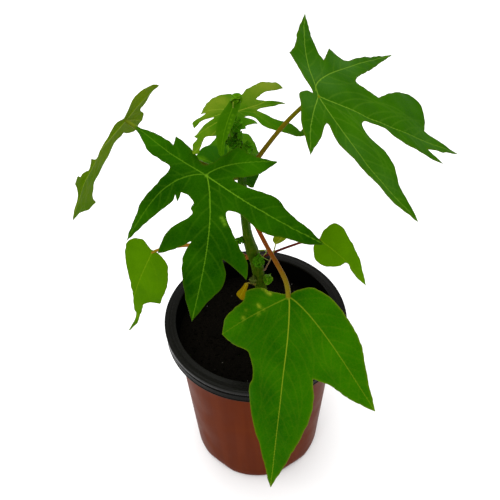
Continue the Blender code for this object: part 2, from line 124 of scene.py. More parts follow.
# Outlines go round each blade from one side of the stalk's notch to the other
FRONT = [
    (-165, 7), (-155, 13), (-150, 21), (-146, 29, CORNER), (-136.5, 25.8, CORNER), (-135, 34),
    (-129, 50.5, RIB, 1.5, 0.5, 0.6), (-124, 43), (-115, 34.3), (-111, 26), (-104, 20.3), (-84, 26.2),
    (-75, 32.1), (-67, 39.2), (-51, 56.5, RIB, -9, 0.38, 0.5), (-52, 42), (-52, 32), (-52, 26.5),
    (-53.3, 22.7), (-58.5, 20.2, CORNER), (-46, 22.5, CORNER), (-56, 16.8, CORNER), (-46, 15.4),
    (-34, 15.9), (-25, 17.3), (-26, 20.6), (-21, 22.6), (-24, 25.8), (-30.3, 30.3), (-35, 39),
    (-33, 50.5, CORNER), (-24.3, 45), (-14.3, 38, CORNER), (-17, 48), (-14.3, 57.8), (-10, 70),
    (-7, 79, RIB, 4.3, 0.4, 0.85), (-1, 69), (6, 62), (9, 56), (9, 47, CORNER), (15, 53), (19, 61, CORNER),
    (23, 53), (22, 38), (23, 25), (33, 24), (40, 31), (43, 44), (51, 56), (56, 68),
    (60, 75, RIB, -2.5, 0.5, 0.9), (62, 64.7), (66, 49.8), (72, 40), (72.5, 28), (80, 15), (89, 23),
    (94, 31), (103, 41.5, RIB, 3.5, 0.35, 0.6), (113, 30), (134, 25, CORNER), (140, 16), (158, 8),
]
RIGHT = [
    (176, 4), (-178, 8), (-158, 13), (-118, 22.5), (-101, 36), (-95, 44.5, RIB, -2), (-87, 31), (-77, 20.3),
    (-67, 20), (-62, 33.6), (-49, 53), (-44, 73), (-39, 89, RIB, -5), (-34, 67.7), (-24, 53.2), (-20, 45.6),
    (-18, 32.4), (-6, 31), (-1, 44.8), (-4, 57.3), (-3, 92, CORNER), (1, 79, CORNER), (3, 92, CORNER),
    (6, 106.5, RIB, -2), (8, 90), (11, 79.5, CORNER), (17, 81.8), (25, 83), (31, 77.7), (31, 61),
    (28, 48, CORNER), (36, 39), (47, 37.3), (49, 57), (51, 89, RIB, 8, 0.2), (57, 63.3), (64, 45),
    (73, 41.5), (82, 42.5, CORNER), (85, 30, CORNER), (96, 39.1), (99, 65, RIB, 5), (109, 47.2),
    (122, 33, CORNER), (132, 30.3, CORNER), (136, 17), (146, 6),
]
LOW_FRONT = [
    (-140, 2.5), (-114, 4), (-110, 8), (-105.5, 12.7), (-106, 17), (-101, 23), (-95, 28), (-88, 29.4),
    (-81, 31.5), (-75.5, 38.5), (-69, 47), (-60, 53.3, RIB, -1, 0.5, 0.35), (-50, 50), (-36, 45), (-25, 57),
    (-24, 67), (-17, 83), (-10, 103), (-6, 122.5, RIB, 2.3, 0.25, 0.8), (1, 98), (8, 81), (14, 68),
    (19, 51, CORNER), (28, 58), (35, 71), (41, 83.5, RIB, 4.5, 0.33, 0.5), (50, 64.5), (62, 52.5), (74, 40),
    (90, 29.5), (112, 18), (127, 8), (150, 2.5),
]
LOW_LEFT = [
    (-172, 2.5, CORNER), (-148, 11), (-120, 16.5), (-95, 18), (-62, 20.5), (-34, 29), (-23, 38.3),
    (-18, 49), (-15, 54.5), (-17, 71.5, RIB, -3), (-13, 61.3), (-12, 54.4), (-11, 47.2),
    (-11, 43.2, CORNER), (-5, 39.7), (6, 40, CORNER), (20, 27), (32, 20), (52, 13), (85, 5),
]
LOW_RIGHT = [
    (180, 1.5, CORNER), (118, 8), (98, 15.8), (80, 20), (60, 22.5), (43, 28.5), (27, 37.8),
    (13.5, 51, RIB, 2), (13, 35.5), (17, 27), (1, 22.8), (-25, 18), (-53, 13.6), (-85, 6.8),
]
LEFT = [
    (-166, 22.4), (-157, 17.8), (-150, 14), (-133, 17.5), (-120, 19, RIB, 0), (-109, 18.2), (-95, 17.8),
    (-80, 14.2), (-56, 9.5), (-44, 10.4), (-25, 14.7), (-24, 19.2), (-23, 24), (-20, 29), (-18, 35.2),
    (-18, 39.5), (-22, 44.9), (-25, 49.8), (-31, 54, CORNER), (-28, 56.3), (-24, 58.3), (-17, 60),
    (-11, 65, RIB, 8), (-7, 57), (-3, 51), (4, 48.5), (9, 48, CORNER), (11, 44), (7, 42.2), (8, 40.9),
    (6, 37.7), (4, 36.1), (10, 32.4), (13, 31.5, CORNER), (3, 27.6), (8, 21.3), (15, 16.5), (29, 12),
    (48, 8.5), (58, 5.5), (92, 3), (130, 6.5), (143, 11), (155, 15.5), (168, 21), (178, 25.9),
    (-174, 29, CORNER), (-170, 30, RIB, -1), (-168, 28.5, CORNER),
]
TOP = [
    (168, 12), (-166, 13.5), (-132, 15), (-105, 17.8), (-77, 24, RIB, -2), (-78, 19, CORNER), (-68, 30),
    (-60, 32.5, RIB, -2), (-66, 25), (-64, 18, CORNER), (-58, 27), (-53, 36, RIB, 0), (-49, 35.6, CORNER),
    (-47.5, 41.5), (-42.5, 46, RIB, 0), (-40, 43), (-43, 37), (-45.5, 31), (-37, 25), (-40, 12), (-19, 7),
    (1, 13.3), (19, 11.5), (40, 12.3), (51, 13.5, RIB, 0, 0.5, 0.3), (55, 12.2), (56, 10.2), (50, 7.4),
    (34, 5.3, CORNER), (66, 6.9), (69, 10.8), (58, 14.8), (58, 18.7), (65, 25.5), (70, 34.4), (72, 38.5),
    (78, 44, CORNER), (88, 45, RIB, 2, 0.5, 0.3), (80, 40.3, CORNER), (83, 37.8), (86, 33.8), (86, 29.4),
    (87, 22), (94, 17.5), (104, 12.5, CORNER), (110, 19.4), (111, 27.5), (114, 40, RIB, 0, 0.5, 0.5),
    (121, 26), (133, 19.8, CORNER), (134, 31.6), (130, 41), (129, 49, RIB, -3), (135, 49.5), (138, 46.5),
    (145, 36.3), (154, 23),
]
BACK = [
    (-160, 3, CORNER), (-166, 10), (-172, 15), (172, 14), (150, 12), (120, 13), (95, 15), (70, 17),
    (55, 22), (42, 26.7, RIB, 0), (27, 29.1), (14, 31.1), (3, 37), (-6, 52), (-10, 62, RIB, 0), (-16, 50),
    (-22, 43.4), (-28, 42.6), (-35, 38.1), (-43, 33.2), (-53, 28.7, RIB, 0), (-73, 23.1), (-94, 20.6),
    (-113, 20.3), (-131, 21.4), (-147, 23.3, RIB, 0), (-151, 21), (-147, 14), (-150, 8),
]
YOUNG = [
    (-129, 3), (-70, 4), (-43, 7.3), (-36, 11.6), (-28, 16), (-21, 20.2), (-15, 24.3), (-11, 27.3),
    (-8, 30.4), (-5.5, 32.4), (-3, 33.2, RIB, -1.2, 0.5, 0.35), (0, 32.2), (-0.5, 29.4), (-1, 25.5),
    (1, 22.5), (4, 18), (8, 14), (16, 9.5), (36, 5.7), (71, 3.3), (160, 2),
]
TINY = [
    (160, 1.5), (136, 2.9), (114, 4.4), (95, 5.5), (74, 6.6), (55, 7.7), (43, 8.3, RIB, 0), (27, 8),
    (20, 6.4), (14, 4.2), (0, 1.8), (-100, 0.6),
]
SEED = [
    (180, 1), (-110, 1.2), (-40, 2.8), (-27, 5.8), (-25, 8.5), (-21, 10.1), (-13, 11), (-2, 11.6, RIB, 0),
    (8, 11.8), (15, 11.1), (20, 9.1), (24, 6.2), (32, 3), (110, 1.2),
]


class Look(NamedTuple):
    """How a kind of leaf looks. top and under are its dark, light and vein colours, as 0 to 255.

    rib is half the width of its main ribs at the stalk, side how clear its side veins are, ruffle and
    bulge are how far its margin waves and how far the blade swells between its ribs, and spacing is how
    far apart its mesh has its points. A leaf with no colours of its own below has those of its top.
    """

    top: tuple
    margin: tuple
    # Colour of painted sheen: a bluish reflection of the light, painted in where a leaf's marks call for it
    bloom: tuple = (98, 116, 44)
    rib: float = 0.3
    side: float = 0.4
    ruffle: float = 0.5
    bulge: float = 0.5
    spacing: float = 0.6
    under: tuple = None


DEEP = Look(
    ((8, 46, 0), (34, 80, 0), (84, 124, 20)), (52, 72, 6), (48, 84, 24), 0.45, 0.14, 0.8, 0.9, 0.85,
    under=((56, 84, 14), (74, 102, 28), (104, 128, 50)),
)
CLEAR = Look(
    ((24, 65, 0), (44, 88, 0), (90, 124, 30)), (76, 84, 14), (52, 90, 30), 0.42, 0.17, 0.8, 0.8, 0.85,
    under=((60, 88, 18), (78, 104, 30), (104, 128, 50)),
)
EDGE_ON = Look(
    ((74, 112, 0), (98, 124, 14), (120, 138, 44)), (96, 100, 22), (72, 102, 42), 0.5, 0.3, 0.6, 0.5, 0.8,
    under=((74, 110, 0), (98, 124, 14), (120, 138, 44)),
)
BROAD = Look(
    ((18, 68, 0), (42, 93, 0), (122, 136, 26)), (104, 112, 18), (60, 98, 20), 0.6, 0.06, 1.0, 0.9, 0.85,
    under=((50, 86, 10), (66, 98, 20), (110, 130, 48)),
)
SHADED = Look(
    ((26, 70, 0), (66, 108, 0), (70, 106, 6)), (56, 94, 4), (60, 98, 20), 0.4, 0.1, 0.6, 0.6, 0.85,
)
SOFT = Look(
    ((50, 92, 0), (74, 118, 0), (92, 126, 8)), (96, 102, 10), (80, 114, 20), 0.4, 0.16, 0.5, 0.5, 0.8,
    under=((64, 98, 8), (80, 110, 20), (108, 128, 44)),
)
PALE = Look(
    ((46, 92, 0), (98, 116, 22), (106, 126, 28)), (84, 96, 12), rib=0.34, side=0.2, bulge=0.6, spacing=0.7,
)
YOUNGEST = Look(
    ((26, 64, 0), (44, 84, 0), (86, 126, 14)), (56, 94, 6), rib=0.4, side=0.15, bulge=0.6, spacing=0.5,
    under=((30, 68, 0), (48, 86, 2), (80, 116, 20)),
)
SPROUT = Look(
    ((36, 92, 0), (62, 120, 4), (84, 124, 28)), (68, 112, 12),
    under=((34, 84, 0), (58, 112, 4), (84, 120, 30)),
)
SHADY_BUD = Look(
    ((24, 80, 0), (56, 114, 4), (84, 124, 28)), (60, 106, 10),
    under=((24, 76, 0), (52, 108, 4), (84, 120, 30)),
)
DOME = Look(((44, 88, 0), (64, 108, 2), (96, 130, 28)), (64, 104, 4))
FRESH = Look(
    ((30, 84, 0), (70, 124, 6), (120, 146, 40)), (110, 138, 30),
    under=((36, 84, 0), (70, 118, 8), (120, 146, 40)),
)
YELLOWING = Look(
    ((84, 104, 4), (116, 130, 16), (140, 146, 50)), (120, 128, 40), side=0.3, ruffle=0.8, spacing=0.45,
    under=((90, 106, 8), (116, 128, 20), (140, 146, 50)),
)
GREYED = Look(((40, 56, 8), (80, 92, 30), (104, 116, 56)), (96, 108, 48))
YELLOW = Look(
    ((114, 92, 0), (138, 116, 0), (150, 134, 20)), (120, 92, 14), (140, 110, 40), 0.3, 0.2, 0.3, 0.2, 0.5,
    under=((110, 90, 2), (132, 110, 6), (146, 126, 36)),
)


class Leaf:
    """One leaf: where its blade starts, how it faces, and its outline in polar form about that point.

    heading is the compass angle of the middle lobe (0 along +X, 90 along +Y), dip its slope below the
    level and roll the lean of the blade about it. droop is how far the blade has sunk at its reach.
    An outline point is (angle from the middle lobe, distance), then CORNER, or RIB, the rib's bow, the
    share of its length where it bows most and how clear it is, which are a half and 1 where not given.
    marks holds, for each kind, patches as (angle, distance, radius, strength): tone is lighter or darker
    than the rest, pale is the colour of the veins, and the third kind is painted sheen, a bluish
    reflection of the light above painted into the blade's colour.
    """

    def __init__(self, name, seat, heading, dip, roll, reach, droop, outline, look, marks, thickness=0.5):
        self.name = name
        self.seat = np.array(seat, float)
        self.reach = reach
        self.droop = droop
        self.outline = outline
        self.look = look
        self.thickness = thickness
        self.marks = marks
        turn, slope, lean = (math.radians(angle) for angle in (heading, dip, roll))
        sideways = np.array((-math.sin(turn), math.cos(turn), 0.0))
        ahead = np.array((math.cos(turn), math.sin(turn), 0.0))
        self.along = ahead * math.cos(slope) - np.array((0.0, 0.0, math.sin(slope)))
        upright = np.cross(self.along, sideways)
        self.aside = sideways * math.cos(lean) + upright * math.sin(lean)
        self.facing = np.cross(self.along, self.aside)

    def lift(self, flat):
        """How far each flat point of the blade stands off its plane, as the blade droops."""
        return -self.droop * (np.hypot(flat[:, 0], flat[:, 1]) / self.reach) ** 2

    def marked(self, kind, flat):
        """How strong the marks of one kind are at each flat point."""
        total = np.zeros(len(flat))
        for angle, distance, radius, strength in self.marks.get(kind, ()):
            away = np.hypot(*(flat - np.array(polar(angle, distance))).T)
            total += strength * near(away, radius)
        return total

    def place(self, flat, height):
        """The points in space of flat points that stand height off the blade's plane."""
        level = np.outer(flat[:, 0], self.along) + np.outer(flat[:, 1], self.aside)
        return self.seat + level + np.outer(height, self.facing)

    def under(self):
        """Where a stalk that comes from below ends, and the direction it arrives in."""
        return Vector(self.seat), Vector(self.facing)

    def beside(self, angle):
        """Where a stalk that comes in the blade's plane from angle ends, and the way it arrives."""
        way = polar(angle, 1.0)
        outward = Vector(self.along) * way.x + Vector(self.aside) * way.y
        return Vector(self.seat), -outward


# Marks of each leaf that has some
FRONT_MARKS = {
    "tone": [
        (-73, 26, 10, -0.3), (-67, 13, 9, -0.3), (-3, 30, 10, -0.3), (-126, 38, 10, 0.25),
        (112, 27, 9, 0.4), (90, 25, 8, 0.35), (50, 45, 14, 0.05), (-12, 60, 16, -0.35), (13, 50, 12, -0.3),
        (-32, 42, 10, -0.2), (88, 28, 8, 0.15), (60, 62, 12, -0.15),
    ],
    "pale": [(17, 25.2, 0.9, 1), (18, 27.1, 0.9, 1), (18, 29.3, 0.9, 0.9)],
}
RIGHT_MARKS = {
    # Painted sheen: bluish patches beside the ribs, a reflection of the light above painted into the colour
    "bloom": [
        (109, 15, 9, 0.5), (58, 14, 8, 0.4), (65, 42, 9, 0.8), (-135, 9, 7, 0.4), (-53, 36, 10, 0.4),
        (-42, 61, 10, 0.3), (6, 78, 10, 0.3),
    ],
    "tone": [(-20, 30, 12, 0.3), (25, 45, 12, 0.25), (95, 45, 12, -0.2)],
}
LOW_FRONT_MARKS = {
    "pale": [
        (-74, 21, 1.0, 0.7), (-70, 20.4, 1.1, 0.8), (-62, 18.4, 1.2, 0.3), (-60, 22.9, 1.3, 0.45),
        (-64, 33.7, 1.4, 0.6), (-71, 29.8, 1.2, 0.25), (-98, 11.6, 1.1, 0.9), (-99, 13.5, 1.2, 0.8),
        (-103, 15.2, 1.0, 0.8), (-103, 17.6, 0.7, 0.7),
    ],
    "tone": [
        (-36, 26, 13, -0.25), (-9, 33, 11, -0.15), (-14, 67, 13, -0.35), (90, 6, 8, -0.3),
        (45, 38, 11, 0.25), (40, 61, 13, 0.15), (-66, 40, 9, 0.35), (-75, 20, 7, 0.3), (-4, 92, 20, -0.25),
    ],
}
LEFT_MARKS = {
    "tone": [(-5, 62, 26, -0.6), (175, 22, 12, 0.4)],
}
LOW_LEFT_MARKS = {
    "tone": [(-30, 12, 14, 0.15), (-15, 64, 6, -0.3)],
    "pale": [(-14.5, 54.5, 2.2, 0.8)],
}
LOW_RIGHT_MARKS = {
    "tone": [(40, 20, 30, 0.35), (13, 44, 9, 0.3)],
}
TOP_MARKS = {
    "tone": [
        (0, 0, 60, -0.3), (-100, 17, 8, 0.65), (-131, 11, 5, 0.35), (-75, 22, 6, 0.3), (137, 38, 14, 0.75),
        (112, 13, 4, 0.3), (76, 30, 14, -0.4), (45, 12, 6, -0.4), (112, 30, 9, -0.3), (-60, 14, 10, -0.3),
    ],
}
# Painted shade on the back leaf where the leaves in front shade it, with one patch of painted light
BACK_PAINTED_SHADE_AND_LIGHT = {
    "tone": [
        (28, 26, 5, -0.7), (16, 22, 7, -0.9), (0, 12, 10, -0.7), (-140, 20, 10, -1.2), (45, 22, 4, 0.3),
    ],
}
YOUNG_MARKS = {
    "pale": [
        (2, 10, 0.8, 0.35), (0, 12.5, 0.7, 0.4), (0, 15, 0.7, 0.4), (0, 17.5, 0.7, 0.4), (0, 20, 0.7, 0.3),
    ],
}

# Leaves: seat, heading, dip, roll, reach, droop, outline, look and marks, and the thickness of thin ones
LEAVES = {
    "left": ((-72.9, 14, 308.7), -130, 27, 75, 66, 5, LEFT, EDGE_ON, LEFT_MARKS),
    "front": ((-25.5, -24, 297.5), -88, 30, -6, 95, 14, FRONT, DEEP, FRONT_MARKS),
    "right": ((37, 10, 325), 2, 30, 14, 104, 4, RIGHT, CLEAR, RIGHT_MARKS),
    "low_front": ((20, -45, 219), -92, 48, 25, 122, 4, LOW_FRONT, BROAD, LOW_FRONT_MARKS),
    "low_left": ((-67, -2, 216), -100, 72, 0, 50, 3, LOW_LEFT, SOFT, LOW_LEFT_MARKS),
    "low_right": ((44, 10, 213), -35, 50, 15, 55, 3, LOW_RIGHT, SOFT, LOW_RIGHT_MARKS),
    "top": ((-8, 17, 311.5), -80, 12, -20, 46, 4, TOP, PALE, TOP_MARKS, 0.45),
    "back": ((-16, 24, 263), 100, 0, 0, 50, 4, BACK, SHADED, BACK_PAINTED_SHADE_AND_LIGHT),
    "young": ((-8.5, 4, 328), -105, 27, 10, 35, 3, YOUNG, YOUNGEST, YOUNG_MARKS, 0.45),
    "tiny": ((14, 1.2, 219.2), 0, 0, 45, 8.3, 0.5, TINY, YELLOWING, {}, 0.4),
    "seed_leaf": ((-6.1, 2, 179), -130, 50, -20, 12.6, 1, SEED, YELLOW, {}, 0.45),
}

# Stalks: height on the stem, azimuth, reach and rise of the leaving curve, length of the arriving one,
# radii at both ends, whether they join under the blade or in its plane from an angle, and their colours at
# both ends
STALKS = {
    "left": (272, 190, 50, 35, 22, (1.8, 1.2), "under", (70, 84, 12), (84, 100, 16)),
    "front": (282, -118, 5, 3, 8, (1.8, 1.3), "under", (128, 60, 18), (136, 58, 16)),
    "right": (275.6, -20, 29.5, 57, 4, (1.4, 1.05), "under", (86, 72, 2), (90, 100, 4)),
    "low_front": (251, -66, 43, -19, 15, (1.3, 1.6), 180, (112, 50, 12), (104, 94, 14)),
    "low_left": (200, 178, 20, 24, 8, (1.5, 0.9), 130, (150, 90, 36), (120, 96, 20)),
    "low_right": (199, -10, 12, 5, 8, (0.9, 0.7), -145, (84, 30, 26), (100, 40, 26)),
    "top": (286, 92, 4, 6, 7, (1.5, 1.1), "under", (60, 90, 10), (60, 100, 10)),
    "back": (250, 118, 5, 2, 6, (1.4, 1.0), "under", (96, 110, 30), (110, 140, 40)),
    "young": (294, -149, 6.6, 16.6, 3.7, (0.8, 0.7), "under", (76, 110, 20), (90, 130, 30)),
    "tiny": (186, -12, 3, 8, 6, (0.55, 0.4), -100, (120, 92, 70), (130, 138, 50)),
    "seed_leaf": (174.2, -140, 2.5, 3, 2, (0.7, 0.5), 180, (120, 110, 40), (140, 124, 40)),
}

STALK_SIDES = 20
STALK_RINGS = 56

# A stalk's foot: how deep it starts in the bark, then in radii where its curve begins, its thickness and
# how much thicker it is there than further on, how quickly that fades, and its ridges' depth and number
STALK_SINK = 0.6
STALK_STANDOFF = 1.2
STALK_FOOT = 1.3
STALK_SWELLING = 0.28
STALK_SWELLING_RATE = 14
STALK_RELIEF = 0.06
STALK_RIDGES = 3


def polar(angle, distance):
    """The flat place of a polar outline point."""
    turn = math.radians(angle)
    return Vector((distance * math.cos(turn), distance * math.sin(turn)))


def spline(before, start, end, after, share):
    """A point of the smooth curve that passes through start and end."""
    square, cube = share * share, share**3
    return 0.5 * (
        2 * start
        + (end - before) * share
        + (2 * before - 5 * start + 4 * end - after) * square
        + (3 * start - before - 3 * end + after) * cube
    )


def outline_curve(outline, step):
    """The closed outline as flat points about step apart, smooth except at its corners."""
    flat = [polar(point[0], point[1]) for point in outline]
    sharp = [len(point) > 2 for point in outline]
    count = len(flat)
    curve = []
    for index in range(count):
        start, end = flat[index], flat[(index + 1) % count]
        before = start if sharp[index] else flat[index - 1]
        after = end if sharp[(index + 1) % count] else flat[(index + 2) % count]
        pieces = max(1, round((end - start).length / step))
        curve += [spline(before, start, end, after, piece / pieces) for piece in range(pieces)]
    return curve


def bowed(tip, side, power, share):
    """A point of the curve from the origin to tip, which bows out by side."""
    return tip * share + side * math.sin(math.pi * share**power)


def rib_curves(outline):
    """Each main rib as a function of its share of length, from the stalk to a lobe's tip."""
    ribs = []
    for point in outline:
        if len(point) > 3:
            tip = polar(point[0], point[1])
            side = Vector((-tip.y, tip.x)).normalized() * point[3]
            peak = point[4] if len(point) > 4 else 0.5
            ribs.append(partial(bowed, tip, side, math.log(0.5) / math.log(peak)))
    return ribs


def rib_strengths(outline):
    """How clear each main rib is, in the order of rib_curves."""
    return [point[5] if len(point) > 5 else 1.0 for point in outline if len(point) > 3]


def inside(point, loop):
    """Whether a flat point lies inside a closed loop, given as an array."""
    x, y = loop[:, 0], loop[:, 1]
    next_x, next_y = np.roll(x, -1), np.roll(y, -1)
    spans = (y > point[1]) != (next_y > point[1])
    rise = np.where(next_y == y, 1.0, next_y - y)
    crossing = x + (point[1] - y) * (next_x - x) / rise
    return np.count_nonzero(spans & (crossing > point[0])) % 2 == 1


def nearness(points):
    """A search tree over flat points."""
    tree = kdtree.KDTree(max(1, len(points)))
    for index, point in enumerate(points):
        tree.insert((point[0], point[1], 0.0), index)
    tree.balance()
    return tree


def distances(tree, flat):
    """For each flat point, how far the nearest point of the tree is, and which it is."""
    found = [tree.find((x, y, 0.0)) for x, y in flat]
    return np.array([hit[2] for hit in found]), np.array([hit[1] for hit in found])


def along_lines(lines, flat):
    """For each flat point, how far the nearest line is, the share of its length there, and which it is."""
    points = [point for line in lines for point in line]
    shares = np.array([at / (len(line) - 1) for line in lines for at in range(len(line))])
    numbers = np.array([number for number, line in enumerate(lines) for _ in line])
    away, hit = distances(nearness(points), flat)
    return away, shares[hit], numbers[hit]


def near(away, width):
    """1 where away is nothing, fading smoothly to nothing over about two widths."""
    return np.exp(-((away / width) ** 2))


# Side veins: how far apart they leave a rib, their angle to it at its foot, how much less that is at its
# tip, how they turn towards the tip, and the step they are drawn in
SIDE_VEIN_GAP = 9.5
SIDE_VEIN_ANGLE = 56.0
SIDE_VEIN_CLOSING = 16.0
SIDE_VEIN_TURN = 1.1
SIDE_VEIN_JITTER = 5.0
RIB_STEP = 0.5
VEIN_STEP = 0.8
SHORTEST_VEINED_RIB = 13.0
FEWEST_VEIN_STEPS = 4
SHARED_FOOT_STEPS = 8
VEIN_CLEARANCE = 1.4
FAR_OFF = (999.0, 0.0)
RIB_THINNING = 0.65


def side_vein(rib, share, hand, loop, others, rng):
    """One side vein, as flat points, from a rib until it meets the margin or another rib."""
    length = rib(1).length
    tangent = rib(share + 0.01) - rib(share)
    heading = math.degrees(math.atan2(tangent.y, tangent.x))
    jitter = rng.uniform(-SIDE_VEIN_JITTER, SIDE_VEIN_JITTER)
    heading += hand * (SIDE_VEIN_ANGLE - SIDE_VEIN_CLOSING * share + jitter)
    line = [rib(share)]
    for _ in range(int(length / VEIN_STEP)):
        heading -= hand * SIDE_VEIN_TURN * rng.uniform(0.2, 1.8)
        ahead = line[-1] + polar(heading, VEIN_STEP)
        if not inside(ahead, loop) or others.find((ahead.x, ahead.y, 0.0))[2] < VEIN_CLEARANCE:
            break
        line.append(ahead)
    return line


def vein_network(leaf, loop):
    """The main ribs and the side veins that branch from them, each as a list of flat points."""
    rng = random.Random(leaf.name + " veins")
    ribs = rib_curves(leaf.outline)
    main = []
    for rib in ribs:
        pieces = max(FEWEST_VEIN_STEPS, round(rib(1).length / RIB_STEP))
        main.append([rib(piece / pieces) for piece in range(pieces + 1)])
    side = []
    for index, rib in enumerate(ribs):
        length = rib(1).length
        if length < SHORTEST_VEINED_RIB:
            continue
        away = [point for at, line in enumerate(main) if at != index for point in line[SHARED_FOOT_STEPS:]]
        others = nearness(away or [FAR_OFF])
        count = int(length / SIDE_VEIN_GAP)
        for step in range(1, count + 1):
            for hand in (-1, 1):
                share = (step - 0.25 - 0.2 * hand + rng.uniform(-0.12, 0.12)) / (count + 0.6)
                line = side_vein(rib, share, hand, loop, others, rng)
                if len(line) > FEWEST_VEIN_STEPS:
                    side.append(line)
    return main, side


def rib_width(look, share):
    """Half the width of a main rib at a share of its length."""
    return look.rib * (1 - RIB_THINNING * share)


# Points of a blade's mesh, as shares of its spacing: the cell that one vein point fills, how far vein
# points stay from the margin, how far the rest stay from margin and veins, and how far they stray
VEIN_CELL = 0.28
VEIN_TO_MARGIN = 0.3
FIELD_TO_MARGIN = 0.55
FIELD_TO_VEIN = 0.5
FIELD_STRAY = 0.15
RIB_SHOULDER = 0.4


def blade_points(leaf, loop, curve, main, side):
    """All the flat points that a blade's mesh is drawn through, the outline's first."""
    look = leaf.look
    spacing = look.spacing
    edge_tree = nearness(curve)
    lines = [Vector((0.0, 0.0))]
    for line in main:
        for index in range(1, len(line)):
            ahead = (line[index] - line[index - 1]).normalized()
            across = Vector((-ahead.y, ahead.x))
            width = rib_width(look, index / (len(line) - 1))
            lines.append(line[index])
            for offset in (0.5 * width, width, width + RIB_SHOULDER):
                lines += [line[index] + across * offset, line[index] - across * offset]
    for line in side:
        lines += line[1:]
    placed = {}
    cell = VEIN_CELL * spacing
    for point in lines:
        key = (round(point.x / cell), round(point.y / cell))
        clear = key not in placed and edge_tree.find((*point, 0.0))[2] > VEIN_TO_MARGIN * spacing
        if clear and inside(point, loop):
            placed[key] = tuple(point)
    placed = list(placed.values())
    settled = nearness(placed)
    points = [tuple(point) for point in curve] + placed
    rng = random.Random(leaf.name)
    low, high = loop.min(axis=0), loop.max(axis=0)
    row_step = spacing * math.sqrt(3) / 2
    for row in range(int((high[1] - low[1]) / row_step) + 1):
        for column in range(int((high[0] - low[0]) / spacing) + 1):
            x = low[0] + (column + 0.5 * (row % 2) + rng.uniform(-FIELD_STRAY, FIELD_STRAY)) * spacing
            y = low[1] + row * row_step + rng.uniform(-FIELD_STRAY, FIELD_STRAY) * spacing
            clear = edge_tree.find((x, y, 0.0))[2] >= FIELD_TO_MARGIN * spacing
            if clear and settled.find((x, y, 0.0))[2] >= FIELD_TO_VEIN * spacing and inside((x, y), loop):
                points.append((x, y))
    return points


WAVE_COUNT = 5


def waves(flat, seed, shortest, longest):
    """A smooth random field over flat points, between about -1 and 1."""
    rng = random.Random(seed)
    total = np.zeros(len(flat))
    for _ in range(WAVE_COUNT):
        turn = rng.uniform(0, math.tau)
        length = rng.uniform(shortest, longest)
        phase = rng.uniform(0, math.tau)
        run = flat[:, 0] * math.cos(turn) + flat[:, 1] * math.sin(turn)
        total += np.sin(run * math.tau / length + phase)
    return total / 3


def finish_mesh(name, verts, faces, attributes, sharp_angle=50.0):
    """A smooth-shaded mesh object from points in millimetres, with one number or vector for each point."""
    mesh = bpy.data.meshes.new(name)
    mesh.from_pydata([tuple(vert) for vert in np.asarray(verts) * METRES_PER_MM], [], faces)
    for key, values in attributes.items():
        values = np.asarray(values, np.float32)
        kind = "FLOAT" if values.ndim == 1 else "FLOAT_VECTOR"
        field = "value" if values.ndim == 1 else "vector"
        attribute = mesh.attributes.new(key, kind, "POINT")
        attribute.data.foreach_set(field, values.ravel())
    mesh.update()
    mesh.shade_smooth()
    mesh.set_sharp_from_angle(angle=math.radians(sharp_angle))
    obj = bpy.data.objects.new(name, mesh)
    bpy.context.scene.collection.objects.link(obj)
    return obj


def settle(obj, node, material):
    """Joins a finished piece to the plant's body, in place of its solid."""
    obj.data.materials.append(material)
    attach(obj, BODY)
    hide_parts(node)


def ring_faces(low, high, count):
    """The faces between two rings of count points, which start at points low and high."""
    pairs = [(step, (step + 1) % count) for step in range(count)]
    return [(low + step, high + step, high + ahead, low + ahead) for step, ahead in pairs]


def disc_faces(rings, count):
    """The faces of a disc: a fan about point 0, then rings of count points each."""
    faces = [(0, 1 + step, 1 + (step + 1) % count) for step in range(count)]
    for low in range(1, 1 + (rings - 1) * count, count):
        faces += ring_faces(low, low + count, count)
    return faces


def two_sided(faces, count):
    """The faces of a sheet and, count points on, of its copy below, joined all round their edge."""
    directed = {pair for face in faces for pair in zip(face, face[1:] + face[:1])}
    rims = sorted((a, b) for a, b in directed if (b, a) not in directed)
    below = [tuple(corner + count for corner in face[::-1]) for face in faces]
    return faces + below + [(a, a + count, b + count, b) for a, b in rims]


# How far a natural margin strays from its drawn line, and how quickly
MARGIN_STRAY = 0.45
MARGIN_RATE = 0.28

# Relief of a blade: how far each form reaches from its rib, vein or margin, the shortest and longest
# waves, and depths, of which those of ribs are in half widths of the rib
MARGIN_REACH = 5.0
RIB_SWELL_REACH = 6.0
SWELL_FROM_SEAT = 15.0
SIDE_SWELL = 0.14
SIDE_SWELL_REACH = 2.2
MARGIN_WAVES = (11.0, 26.0)
BLADE_WAVES = (24.0, 50.0)
BLADE_WAVING = 0.5
EDGE_THINNING = 0.6
EDGE_REACH = 0.5
RIB_GROOVE = 0.3
RIB_RIDGE = 1.2
RIDGE_WIDTH = 1.4
SIDE_GROOVE = 0.04
SIDE_RIDGE = 0.18
SIDE_VEIN_WIDTH = 0.5
SIDE_VEIN_THINNING = 0.7
RELIEF_FROM_EDGE = 1.5

# Colour of a blade: how much a rib fades to its tip, the radius of the pale spot over the stalk in half
# widths of a rib, and the widths that side veins and the margin are coloured over
RIB_FADING = 0.45
HEART_RADIUS = 2.2
SIDE_VEIN_COLOUR_WIDTH = 0.4
MARGIN_COLOUR_WIDTH = 0.45


def uneven(curve, seed):
    """An outline with the slight unevenness of a natural margin."""
    strayed = []
    for index, point in enumerate(curve):
        ahead = (curve[(index + 1) % len(curve)] - curve[index - 1]).normalized()
        stray = MARGIN_STRAY * noise.noise((point.x * MARGIN_RATE, point.y * MARGIN_RATE, seed))
        strayed.append(point + Vector((ahead.y, -ahead.x)) * stray)
    return strayed


